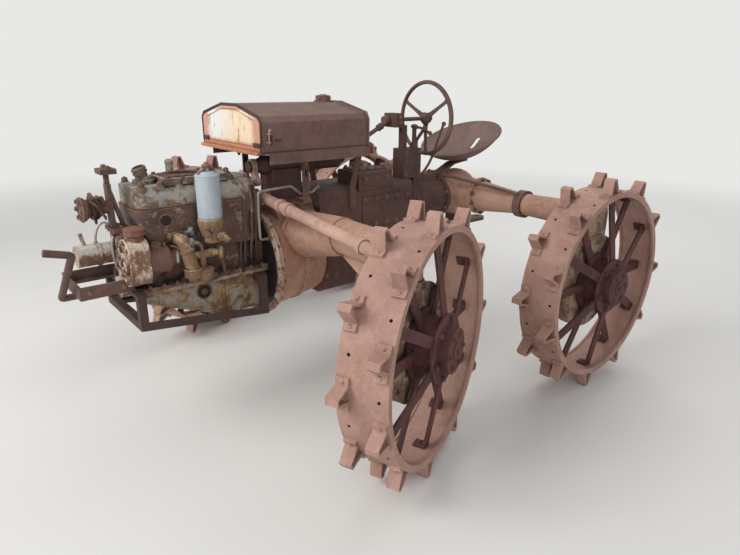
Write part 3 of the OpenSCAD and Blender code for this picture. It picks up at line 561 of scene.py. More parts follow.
# Near black of flat discs and slabs that stand for openings: painted shade inside holes, slots and
# mouths
HOLE_SHADE = Finish("hole_shadow", (14, 11, 10), (24, 18, 16), (8, 7, 7), (20, 15, 12),
              0.1, 0.01, 0.0, 0.0, 0.2, (0.9, 1.0), 0.0, 0.1)
SEAT = Finish("seat_brown_rust", (132, 108, 100), (158, 134, 125), (100, 79, 73), (136, 101, 87),
              0.24, 0.05, 0.05, 0.5, 0.35)

NODE_FINISH: dict[str, Finish] = {
    "tie_rod": LINK, "pitman_arm": LINK, "steering_wheel": FRAME, "front_axle": ORANGE,
    "rear_axle": ORANGE, "rear_drop_cases": CASE, "knuckle_left": CASE, "knuckle_right": CASE,
    "bell_housing": ORANGE, "gearbox": DARK, "engine_block": CREAM, "cylinder_head": HEAD,
    "oil_pan": PAN, "gear_cover": COVER, "magneto": BROWN, "oil_filler": RED_RUST,
    "carburettor": BRASS_RUST, "canister": CANISTER, "starter": COVER, "fan_hub": BROWN,
    "radiator_bracket": FRAME, "front_bracket": FRAME, "hand_crank": FRAME,
    "lower_frame": UNDER, "fuel_tank": TANK, "tank_rails": TANK, "tank_posts": FRAME,
    "steering_gear": DARK, "steering_shaft": FRAME, "control_column": DARK, "seat": SEAT,
    "seat_spring": FRAME, "drawbar": FRAME, "vent_pipe": PIPE, "brake_rod": FRAME,
}


class Gather:
    """Small forms gathered into one mesh, placed by one matrix and shown as one piece."""

    def __init__(self, place: Matrix | None = None) -> None:
        """Start an empty gathering.

        Args:
            place: Matrix that the whole mesh is put through at the end.
        """
        self.bm = bmesh.new()
        self.place = place or Matrix.Identity(4)

    def cone(self, point: Vector, axis: Vector, r0: float, r1: float, height: float,
             sides: int = 20) -> None:
        """Add a closed round form that starts at a point and runs along an axis.

        Args:
            point: Centre of the first end.
            axis: Direction.
            r0: Radius at the first end.
            r1: Radius at the other end.
            height: Length along the axis.
            sides: Number of sides.
        """
        mid = point + axis.normalized() * (height / 2)
        bmesh.ops.create_cone(self.bm, cap_ends=True, segments=sides, radius1=r0, radius2=r1,
                              depth=height, matrix=facing(mid, axis))

    def spun(self, point: Vector, axis: Vector, profile: Sequence[tuple[float, float]],
             sides: int = 28) -> None:
        """Add a lathe form.

        Args:
            point: Where height nought lies.
            axis: Direction of the height.
            profile: Radius and height pairs from one end to the other.
            sides: Number of sides.
        """
        place = facing(point, axis)
        self.skin([self.corners(place @ Vector((x, y, height)) for x, y in circle(radius, sides))
                   for radius, height in profile])

    def corners(self, points: Iterable[Vector]) -> list[bmesh.types.BMVert]:
        """Add a row of corners that no face uses yet."""
        return [self.bm.verts.new(point) for point in points]

    def wall(self, rows: Sequence[Sequence[bmesh.types.BMVert]]) -> None:
        """Join rows of equally many corners with faces and leave both ends open."""
        count = len(rows[0])
        for low, high in zip(rows, rows[1:]):
            for k in range(count):
                n = (k + 1) % count
                self.bm.faces.new((low[k], low[n], high[n], high[k]))

    def skin(self, rows: list[list[bmesh.types.BMVert]], closed: bool = False) -> None:
        """Join rows of corners with faces, and close both ends unless the rows run round.

        Args:
            rows: Rows with equally many corners.
            closed: Whether the last row joins the first.
        """
        self.wall(rows + rows[:1] if closed else rows)
        if not closed:
            self.bm.faces.new(rows[0][::-1])
            self.bm.faces.new(rows[-1])

    def bolt(self, point: Vector, axis: Vector, across: float = 0.022,
             height: float = 0.012) -> None:
        """Add a hexagon head on a washer, with the stud's end showing.

        Args:
            point: Middle of the washer's underside.
            axis: Direction that the head points in.
            across: Width over the corners.
            height: Height of the head.
        """
        n, flats = axis.normalized(), height * 0.7
        self.cone(point - n * SINK, n, across * 0.66, across * 0.64, WASHER + SINK, 18)
        self.cone(point + n * HEAD_AT, n, across / 2, across / 2, flats, 6)
        self.cone(point + n * (HEAD_AT + flats), n, across / 2, across * 0.40, height * 0.16, 6)
        self.cone(point + n * flats, n, across * 0.24, across * 0.2, height * 0.45, 10)

    def rivet(self, point: Vector, axis: Vector, radius: float, height: float) -> None:
        """Add a round rivet head.

        Args:
            point: Middle of its underside.
            axis: Direction that it points in.
            radius: Radius of the head.
            height: Height of the head.
        """
        turns = [math.pi / 2 * k / 5 for k in range(6)]
        profile = [(radius, -SINK)] + [
            (radius * math.cos(a) + 0.0003, height * math.sin(a)) for a in turns]
        self.spun(point, axis, profile, 16)

    def tube(self, points: Sequence[Vector], radius: float, sides: int = 12,
             closed: bool = False, smooth: int = 0) -> None:
        """Add a tube along a path.

        Args:
            points: Points of the path.
            radius: Radius of the tube.
            sides: Number of sides.
            closed: Whether the path runs back to its start.
            smooth: How many times the corners are cut.
        """
        path = [Vector(p) for p in points]
        for _ in range(smooth):
            path = self.cut_corners(path, closed)
        count = len(path)
        ahead = [(path[(k + 1) % count] - path[k - 1]).normalized() if closed or 0 < k < count - 1
                 else (path[min(k + 1, count - 1)] - path[max(k - 1, 0)]).normalized()
                 for k in range(count)]
        across = ahead[0].orthogonal().normalized()
        rows = []
        for point, way in zip(path, ahead):
            across = (across - way * across.dot(way)).normalized()
            other = way.cross(across)
            rows.append(self.corners(point + across * x + other * y
                                     for x, y in circle(radius, sides)))
        self.skin(rows, closed)

    def pipe(self, points: Sequence[Vector], radius: float, bend: float, sides: int = 16) -> None:
        """Add a tube that runs straight between bends of a stated size.

        Args:
            points: Its ends and corners.
            radius: Radius of the tube.
            bend: How far from a corner the bend starts.
            sides: Number of sides.
        """
        path = [points[0]]
        for before, corner, after in zip(points, points[1:], points[2:]):
            for other in (before, after):
                way = other - corner
                path.append(corner + way * min(bend / way.length, 0.45))
            path.insert(-1, corner)
        self.tube(path + [points[-1]], radius, sides, smooth=3)

    @staticmethod
    def cut_corners(path: list[Vector], closed: bool) -> list[Vector]:
        """Round a path off by one step of corner cutting.

        Args:
            path: Points of the path.
            closed: Whether it runs back to its start.

        Returns:
            The rounder path.
        """
        out = [] if closed else [path[0]]
        last = len(path) if closed else len(path) - 1
        for k in range(last):
            a, b = path[k], path[(k + 1) % len(path)]
            out += [a.lerp(b, 0.25), a.lerp(b, 0.75)]
        return out if closed else out + [path[-1]]

    def ring(self, point: Vector, axis: Vector, radius: float, thick: float,
             steps: int = 40, sides: int = 8) -> None:
        """Add a round ring.

        Args:
            point: Its middle.
            axis: Its axis.
            radius: Radius to the middle of the bar.
            thick: Radius of the bar.
            steps: Pieces round the ring.
            sides: Sides of the bar.
        """
        place = facing(point, axis)
        self.tube([place @ Vector((x, y, 0)) for x, y in circle(radius, steps)], thick, sides,
                  closed=True)

    def slab(self, low: Vector, high: Vector, bevel: float = 0.003,
             turn: Matrix | None = None) -> None:
        """Add a block with rounded edges.

        Args:
            low: Lowest corner.
            high: Highest corner.
            bevel: Size of the rounded edge.
            turn: Turn about the block's middle.
        """
        mid, size = (low + high) / 2, high - low
        place = Matrix.Translation(mid) @ (turn or Matrix.Identity(4)) @ Matrix.Diagonal(
            (*size, 1.0))
        block = bmesh.new()
        bmesh.ops.create_cube(block, size=1.0, matrix=place)
        if bevel > 0:
            bmesh.ops.bevel(block, geom=block.edges[:], offset=min(bevel, min(size) * 0.4),
                            segments=2, profile=0.5, affect="EDGES")
        self.take_over(block)

    def take_over(self, block: bmesh.types.BMesh) -> None:
        """Add a block's faces in the order of their places, as a bevel's own order is random.

        Args:
            block: The block, which is freed.
        """
        loops = []
        for face in block.faces:
            spots = [tuple(corner.co) for corner in face.verts]
            first = spots.index(min(spots))
            loops.append(spots[first:] + spots[:first])
        known: dict[tuple[float, ...], bmesh.types.BMVert] = {}
        for loop in sorted(loops):
            for spot in loop:
                if spot not in known:
                    known[spot] = self.bm.verts.new(spot)
            self.bm.faces.new([known[spot] for spot in loop])
        block.free()

    def side_slab(self, side: int, low: Triple, high: Triple, bevel: float) -> None:
        """Add a block on either side of the tractor.

        Args:
            side: One for the left side and minus one for the right.
            low: Lowest corner on the left side in millimetres.
            high: Highest corner on the left side in millimetres.
            bevel: Size of the rounded edge in metres.
        """
        y0, y1 = sorted((side * low[1], side * high[1]))
        self.slab(at(low[0], y0, low[2]), at(high[0], y1, high[2]), bevel)

    def plate(self, outline: Sequence[Vector], thick: Vector) -> None:
        """Add a flat form of any outline.

        Args:
            outline: Its corners in order.
            thick: Thickness as a vector.
        """
        self.skin([self.corners(outline), self.corners(p + thick for p in outline)])

    def bolt_circle(self, point: Vector, axis: Vector, radius: float, count: int,
                    across: float = 0.022, start: float = 0.0) -> None:
        """Add bolts round a circle.

        Args:
            point: Middle of the circle, on the face.
            axis: Direction of the heads.
            radius: Radius of the circle.
            count: Number of bolts.
            across: Width of a head over its corners.
            start: Turn of the first bolt in degrees.
        """
        place = facing(point, axis)
        for k in range(count):
            a = math.radians(start) + math.tau * k / count
            spot = place @ Vector((radius * math.cos(a), radius * math.sin(a), 0))
            self.bolt(spot, axis, across, across * 0.55)

    def bolt_row(self, start: Vector, end: Vector, axis: Vector, count: int,
                 across: float = 0.02) -> None:
        """Add bolts in a row.

        Args:
            start: First bolt.
            end: Last bolt.
            axis: Direction of the heads.
            count: Number of bolts.
            across: Width of a head over its corners.
        """
        for k in range(count):
            self.bolt(start.lerp(end, k / max(count - 1, 1)), axis, across, across * 0.55)

    def show(self, name: str, finish: Finish, slot: str,
             body: Body = Body.CHASSIS) -> bpy.types.Object:
        """Turn what was gathered into one piece of the tractor.

        Args:
            name: Name of the piece.
            finish: Its finish.
            slot: Name of a material slot, which is not used.
            body: Body that it rides on.

        Returns:
            The piece.
        """
        mesh = bpy.data.meshes.new(name)
        bmesh.ops.transform(self.bm, matrix=self.place, verts=self.bm.verts)
        bmesh.ops.recalc_face_normals(self.bm, faces=self.bm.faces)
        self.bm.to_mesh(mesh)
        self.bm.free()
        mesh.polygons.foreach_set("use_smooth", [True] * len(mesh.polygons))
        mesh.set_sharp_from_angle(angle=math.radians(SHARP_ANGLE))
        mesh.materials.append(finish.material())
        piece = place_new(name, mesh)
        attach(piece, body.value)
        LOG.info("%s: %d faces on %s", name, len(mesh.polygons), body.value)
        return piece


@dataclass
class Studio:
    """Camera at the photograph's angle, plain pale floor and soft light."""

    spot: Triple = (1.8081, 2.3986, 1.5334)
    yaw: float = -130.115
    pitch: float = 18.95
    roll: float = 0.417
    lens: float = 27.64
    floor_half: float = 60.0
    floor_tone: Tone = (222, 220, 216)
    backdrop: Tone = (232, 232, 230)
    fade: tuple[float, float] = (3.5, 9.0)
    even_light: float = 0.50
    lamps: tuple[tuple[str, Triple, float, float], ...] = (
        ("key", (5.3, -0.3, 4.5), 3.4, 265.0), ("fill", (3.4, 5.4, 3.4), 5.0, 100.0),
        ("back", (-4.6, -1.0, 4.4), 4.0, 110.0))

    def build(self) -> None:
        """Make the camera, the floor, the lamps and the world."""
        self.camera()
        self.floor()
        for name, spot, size, power in self.lamps:
            self.lamp(name, spot, size, power)
        self.world()

    def camera(self) -> None:
        """Make the camera where the photograph was taken from."""
        data = bpy.data.cameras.new("view")
        data.lens = self.lens
        data.sensor_width = 36.0
        data.clip_end = 400.0
        camera = place_new("view", data)
        y, p, r = (math.radians(v) for v in (self.yaw, self.pitch, self.roll))
        look = Vector((math.cos(y) * math.cos(p), math.sin(y) * math.cos(p), -math.sin(p)))
        right = look.cross(UP).normalized()
        above = right.cross(look)
        side = right * math.cos(r) + above * math.sin(r)
        top = above * math.cos(r) - right * math.sin(r)
        turn = Matrix((side, top, -look)).transposed().to_4x4()
        camera.matrix_world = Matrix.Translation(Vector(self.spot)) @ turn
        bpy.context.scene.camera = camera

    def floor(self) -> None:
        """Make the plain pale floor."""
        mesh = bpy.data.meshes.new("floor")
        h = self.floor_half
        mesh.from_pydata([(-h, -h, 0), (h, -h, 0), (h, h, 0), (-h, h, 0)], [], [(0, 1, 2, 3)])
        g = Graph("floor_pale")
        where = g.node("TexCoord").outputs["Object"]
        tone = linear(self.floor_tone)
        colour = g.mix(g.band(g.noise(where, 2.0, 3.0), 0.3, 0.7), tone,
                       tuple(0.97 * c for c in tone[:3]) + (1.0,))
        shader = g.node("BsdfPrincipled", {"Base Color": colour, "Roughness": 0.85})
        away = g.node("VectorMath", {0: where}, operation="LENGTH").outputs["Value"]
        far = g.times(g.band(away, *self.fade), g.seen())
        plain = g.node("Emission", {"Color": linear(self.backdrop), "Strength": 1.0})
        blend = g.node("MixShader", {0: far, 1: shader.outputs[0], 2: plain.outputs[0]})
        g.node("OutputMaterial", {"Surface": blend.outputs[0]})
        mesh.materials.append(g.owner)
        floor = place_new("floor", mesh)
        floor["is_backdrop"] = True

    @staticmethod
    def lamp(name: str, spot: Triple, size: float, power: float) -> None:
        """Make one soft area lamp that looks at the tractor's middle.

        Args:
            name: Name of the lamp.
            spot: Where it hangs.
            size: Width of its square in metres.
            power: Power in watts.
        """
        data = bpy.data.lights.new(name, "AREA")
        data.energy = power
        data.size = size
        lamp = place_new(name, data)
        way = Vector((0.0, 0.0, 0.6)) - Vector(spot)
        lamp.matrix_world = Matrix.Translation(spot) @ way.to_track_quat(
            "-Z", "Y").to_matrix().to_4x4()

    def world(self) -> None:
        """Give even light all round, and a pale backdrop to the camera and to gloss."""
        g = Graph("studio", world=True)
        soft = g.node("Background", {"Color": (0.96, 0.98, 1.0, 1.0), "Strength": self.even_light})
        shown = g.node("Background", {"Color": linear(self.backdrop), "Strength": 1.0})
        blend = g.node("MixShader", {0: g.seen(), 1: soft.outputs[0], 2: shown.outputs[0]})
        g.node("OutputWorld", {"Surface": blend.outputs[0]})
        bpy.context.scene.world = g.owner


def dress(node: str, finish: Finish) -> None:
    """Give one solid its finish."""
    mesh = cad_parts[node].data
    mesh.materials.clear()
    mesh.materials.append(finish.material())


def turned_end(side: Side) -> Matrix:
    """Matrix from a kingpin's own frame, turned as it rests, to the tractor's."""
    return Matrix.Translation(at(0, KINGPIN_Y * side.value, 0)) @ Matrix.Rotation(
        math.radians(REST_TURN), 4, "Z")


@dataclass
class Wheel:
    """Rivets, lug holes as discs of painted shade, hub bolts and cap of one wheel; sizes in
    millimetres.
    """

    body: Body
    rim_r: float = 482.6
    rim_w: float = 200.0
    band_t: float = 9.0
    lug_count: int = 11
    lug_foot: float = 49.0
    lug_t: float = 9.0
    row_ys: tuple[float, float] = (-31.0, -169.0)
    cap_end: float = 50.0
    spoke_count: int = 12

    def __post_init__(self) -> None:
        """Read from the body's name which wheel this is."""
        self.tail = self.body.value.removeprefix("wheel_")
        self.front = self.tail.startswith("front")
        self.side = Side.LEFT if self.tail.endswith("left") else Side.RIGHT

    def place(self) -> Matrix:
        """Matrix from the wheel's own frame, outer face at y nought, to the tractor's."""
        s = self.side.value
        flip = Matrix.Diagonal((1.0, float(s), 1.0, 1.0))
        if not self.front:
            return Matrix.Translation(at(REAR_X, REAR_FACE_Y * s, 0)) @ flip
        return turned_end(self.side) @ Matrix.Translation((0, WHEEL_OUT * MM * s, 0)) @ flip

    @staticmethod
    def spot(angle: float, radius: float, y: float, along: float = 0.0) -> tuple[Vector, Vector]:
        """Place and outward direction at an angle round the wheel.

        Args:
            angle: Degrees from ahead towards up.
            radius: Radius in millimetres.
            y: Depth along the axle in millimetres.
            along: Shift along the band in millimetres.

        Returns:
            The point and the radial direction, in the wheel's frame.
        """
        a = math.radians(angle)
        out = Vector((math.cos(a), 0, math.sin(a)))
        side = Vector((-math.sin(a), 0, math.cos(a)))
        return (out * radius + side * along + Vector((0, y, 0))) * MM, out

    def lugs(self, shift: float = 0.0) -> Iterator[tuple[float, float]]:
        """Give the row's depth in millimetres and the angle in degrees of every lug.

        Args:
            shift: How far on each angle lies, as a share of the lugs' pitch.

        Yields:
            Depth and angle.
        """
        pitch = 360.0 / self.lug_count
        for depth, sign in zip(self.row_ys, (1, -1)):
            for k in range(self.lug_count):
                yield depth, -90 + sign * pitch / 4 + (k + shift) * pitch

    def spoke(self, k: int) -> float:
        """Angle of a spoke in degrees."""
        return 90 - k * 360 / self.spoke_count

    def build(self) -> None:
        """Build every small piece of the wheel and dress its solids."""
        dress("rim_" + self.tail, TREAD)
        dress("hub_" + self.tail, HUB)
        self.rivets()
        self.holes()
        self.hub()

    def rivets(self) -> None:
        """Rivets in the lugs' feet and in the spokes' feet."""
        made, inner = Gather(self.place()), Gather(self.place())
        for depth, angle in self.lugs():
            for along in (-self.lug_foot, self.lug_foot):
                point, out = self.spot(angle, self.rim_r + self.lug_t, depth, along)
                made.rivet(point, out, 0.0088, 0.0055)
        made.show("rivets_" + self.tail, LUG_TIP, "tread_rust", self.body)
        for k in range(self.spoke_count):
            y = (-0.32 if k % 2 == 0 else -0.46) * self.rim_w - 23
            for along in (-10, 10):
                point, out = self.spot(self.spoke(k), self.rim_r - self.band_t - 11, y, along)
                inner.rivet(point, -out, 0.0075, 0.005)
        inner.show("spoke_rivets_" + self.tail, HUB, "spoke_rust", self.body)

    def holes(self) -> None:
        """Lug holes in the band between the lugs, drawn as flat near black discs of painted shade.
        """
        made = Gather(self.place())
        # Each hole is a thin near black disc: painted shade, not an opening
        for depth, angle in self.lugs(0.5):
            point, out = self.spot(angle, self.rim_r - 0.6, depth * 0.9 - 6)
            made.cone(point, out, 0.0064, 0.0064, 0.0009, 18)
        made.show("lug_holes_" + self.tail, HOLE_SHADE, "spoke_rust", self.body)

    def hub(self) -> None:
        """Bolts of the hub's ring, the cap's plug and the drum's rivets."""
        made = Gather(self.place())
        made.bolt_circle(Vector((0, 0.010, 0)), LEFT, 0.120, 6, 0.026, 15)
        cap = self.cap_end * MM
        made.bolt_circle(Vector((0, cap, 0)), LEFT, 0.070, 6, 0.018, 0)
        made.spun(Vector((0, cap, 0)), LEFT, [
            (0.034, -0.001), (0.034, 0.004), (0.026, 0.008), (0.012, 0.008), (0.012, 0.014),
            (0.004, 0.015)], 24)
        for k in range(1, self.spoke_count, 2):
            made.rivet(self.spot(self.spoke(k), 136, -73)[0], LEFT, 0.009, 0.006)
        made.ring(Vector((0, 0.0095, 0)), LEFT, 0.1385, 0.0022, 56, 6)
        made.show("hub_bolts_" + self.tail, HUB, "hub_red", self.body)


@dataclass
class SteeredEnd:
    """Bolts, caps and beads of one steered end; sizes in millimetres."""

    side: Side
    body: Body
    case_out: float = -104.0
    case_in: float = -176.0
    bolt_r: float = 236.0
    bead_r: float = 246.5
    bead: float = 2.0

    def place(self) -> Matrix:
        """Matrix from the knuckle's own frame to the tractor's."""
        return turned_end(self.side) @ Matrix.Diagonal((1.0, float(self.side.value), 1.0, 1.0))

    def build(self) -> None:
        """Build the bolts and the beads of the case."""
        made, rib = Gather(self.place()), Gather(self.place())
        for face, sign in ((self.case_out, 1), (self.case_in, -1)):
            mid = LEFT * (WHEEL_OUT + face) * MM
            made.bolt_circle(mid, LEFT * sign, self.bolt_r * MM, 14, 0.020, 8)
            rib.ring(mid - LEFT * (sign * self.bead * MM), LEFT, self.bead_r * MM, 0.0035, 64, 6)
        made.show(f"case_bolts_{self.side.name.lower()}", BOLT, "frame_rust", self.body)
        rib.spun(Vector((0, 0, 0.200)), UP, [
            (0.0655, 0), (0.0675, 0.003), (0.0675, 0.009), (0.0655, 0.012)], 40)
        rib.show(f"case_beads_{self.side.name.lower()}", CASE, "case_cream", self.body)


@dataclass
class Linkage:
    """Collars, grease cups and nuts of the tie rod and the drop arm."""

    arm_dx: float = 165.0 * math.cos(math.radians(REST_TURN))
    arm_dy: float = 165.0 * math.sin(math.radians(REST_TURN))
    rod_z: float = 383.0
    mid_z: float = 470.0

    def build(self) -> None:
        """Build the linkage's small pieces."""
        made = Gather()
        for y in (self.arm_dy + KINGPIN_Y, self.arm_dy - KINGPIN_Y):
            top = at(self.arm_dx, y, self.rod_z + 27)
            made.spun(top, UP, [(0.0285, -0.002), (0.0285, 0.003), (0.022, 0.007),
                                (0.010, 0.008), (0.010, 0.013), (0.004, 0.014)], 26)
            for z in (18, -16):
                made.ring(at(self.arm_dx, y, self.rod_z + z), UP, 0.030, 0.0022, 32, 6)
        for sign in (1, -1):
            a = at(self.arm_dx, self.arm_dy + sign * 40, self.mid_z)
            b = at(self.arm_dx, self.arm_dy + sign * KINGPIN_Y, self.rod_z)
            way = (b - a).normalized()
            radius = 0.0265 if sign > 0 else 0.0215
            for dist in (0.13, 0.19, 0.70):
                made.cone(a + way * dist, way, radius + 0.005, radius + 0.005, 0.022, 24)
        for y in (26, -26):
            made.bolt(at(self.arm_dx - 22, self.arm_dy + y, self.mid_z), -AHEAD, 0.020, 0.012)
        made.show("rod_collars", LINK, "linkage_rust", Body.ROD)
        arm = Gather()
        arm.bolt(at(self.arm_dx + 13, 32.9, 539.7), AHEAD, 0.022, 0.010)
        arm.show("arm_nut", LINK, "linkage_rust", Body.ARM)


@dataclass
class Housings:
    """Bolts, flanges, plates and ribs of the axle housings, bell housing and gearbox."""

    crank_z: float = 157.0
    crown_z: float = 327.0
    bell_x: float = 185.0
    bell_r: float = 262.0
    box_half: float = 165.0
    plate_t: float = 6.0
    cover: tuple[float, float, float, float] = (-570.0, -345.0, 450.0, 552.0)

    def build(self) -> None:
        """Build what is bolted to the housings."""
        self.axle_bolts()
        self.gearbox_plates()
        self.bell()

    def axle_bolts(self) -> None:
        """Bolts of both axle housings and the caps of the kingpins."""
        bolts, beads = Gather(), Gather()
        for s in (1, -1):
            side = LEFT * s
            bolts.bolt_circle(at(REAR_X, 222 * s, DROP_Z), side, 0.098, 10, 0.022, 18)
            bolts.bolt_circle(at(0, KINGPIN_Y * s, 444), UP, 0.022, 3, 0.012)
            bolts.bolt_circle(at(0, KINGPIN_Y * s, 430), UP, 0.050, 6, 0.018, 30)
            for z in (300, 392):
                for x in (-70, 70):
                    bolts.bolt(at(x, 849.5 * s, z), side, 0.02, 0.011)
            beads.cone(at(0, (824 if s > 0 else -850), 345), LEFT, 0.0795, 0.0795, 0.026, 48)
            beads.ring(at(REAR_X, 500 * s, DROP_Z), side, 0.0600, 0.0035, 48, 6)
        bolts.show("axle_bolts", BOLT, "frame_rust")
        beads.show("axle_beads", ORANGE, "housing_orange")

    def gearbox_plates(self) -> None:
        """Side plates, the raised cover's plate and their bolts."""
        plates, bolts = Gather(), Gather()
        inner, outer = self.box_half, self.box_half + self.plate_t
        for s in (1, -1):
            for x0, x1, z0, z1, n in ((-322, -122, 40, 300, 4), (-690, -372, 262, 420, 5)):
                plates.side_slab(s, (x0, inner, z0), (x1, outer, z1), 0.004)
                for z in (z0 + 14, z1 - 14):
                    bolts.bolt_row(at(x0 + 12, outer * s, z), at(x1 - 12, outer * s, z), LEFT * s,
                                   n, 0.019)
        x0, x1, z0, z1 = self.cover
        plates.slab(at(x0 + 20, 8, z1 - 1), at(x1 - 20, 152, z1 + 7), 0.004)
        for y in (20, 140):
            bolts.bolt_row(at(x0 + 32, y, z1 + 7), at(x1 - 32, y, z1 + 7), UP, 4, 0.018)
        face = self.box_half + 10
        plates.slab(at(x0 + 24, face - 5, z0 + 24), at(x1 - 24, face, z1 - 22), 0.003)
        bolts.bolt_row(at(x0 + 40, face, z1 - 36), at(x1 - 40, face, z1 - 36), LEFT, 3, 0.017)
        bolts.bolt_circle(at(-1060, 0, self.crown_z), AHEAD, 0.1235, 8, 0.016, 20)
        plates.show("gearbox_plates", DARK, "housing_dark")
        bolts.show("gearbox_bolts", BOLT, "frame_rust")

    def bell(self) -> None:
        """The bell housing's oily front face, its pale rim, its studs and its crown's seams."""
        def on_axis(x: float) -> Vector:
            """Place on the crank's axis, by its distance from the bell's face."""
            return at(self.bell_x + x, 0, self.crank_z)

        face, band, bolts, rim, seams = (Gather() for _ in range(5))
        face.cone(on_axis(-1), AHEAD, 0.2360, 0.2345, 0.0055, 80)
        face.show("bell_face", OIL, "engine_rust")
        band.cone(on_axis(-1), AHEAD, 0.2605, 0.2590, 0.0035, 80)
        band.show("bell_band", COVER, "engine_cream")
        bolts.bolt_circle(on_axis(-22), -AHEAD, 0.2535, 16, 0.016, 11)
        bolts.bolt_circle(on_axis(2.5), AHEAD, 0.2475, 18, 0.013, 4)
        for k in range(7):
            a = math.radians(-62 + k * 22)
            for s in (1, -1):
                out = Vector((0, s * math.cos(a), math.sin(a)))
                bolts.rivet(on_axis(-11) + out * (self.bell_r * MM), out, 0.0075, 0.005)
        bolts.show("bell_bolts", BOLT, "frame_rust")
        rim.ring(on_axis(-2), AHEAD, 0.2610, 0.0036, 80, 8)
        rim.ring(on_axis(-19), AHEAD, 0.2615, 0.0022, 80, 8)
        rim.show("bell_rim", COVER, "engine_cream")
        for x in (-90, 40):
            seams.ring(at(x, 0, self.crown_z), AHEAD, 0.1280, 0.0034, 56, 6)
        seams.show("crown_seams", BRASS_RUST, "housing_orange")


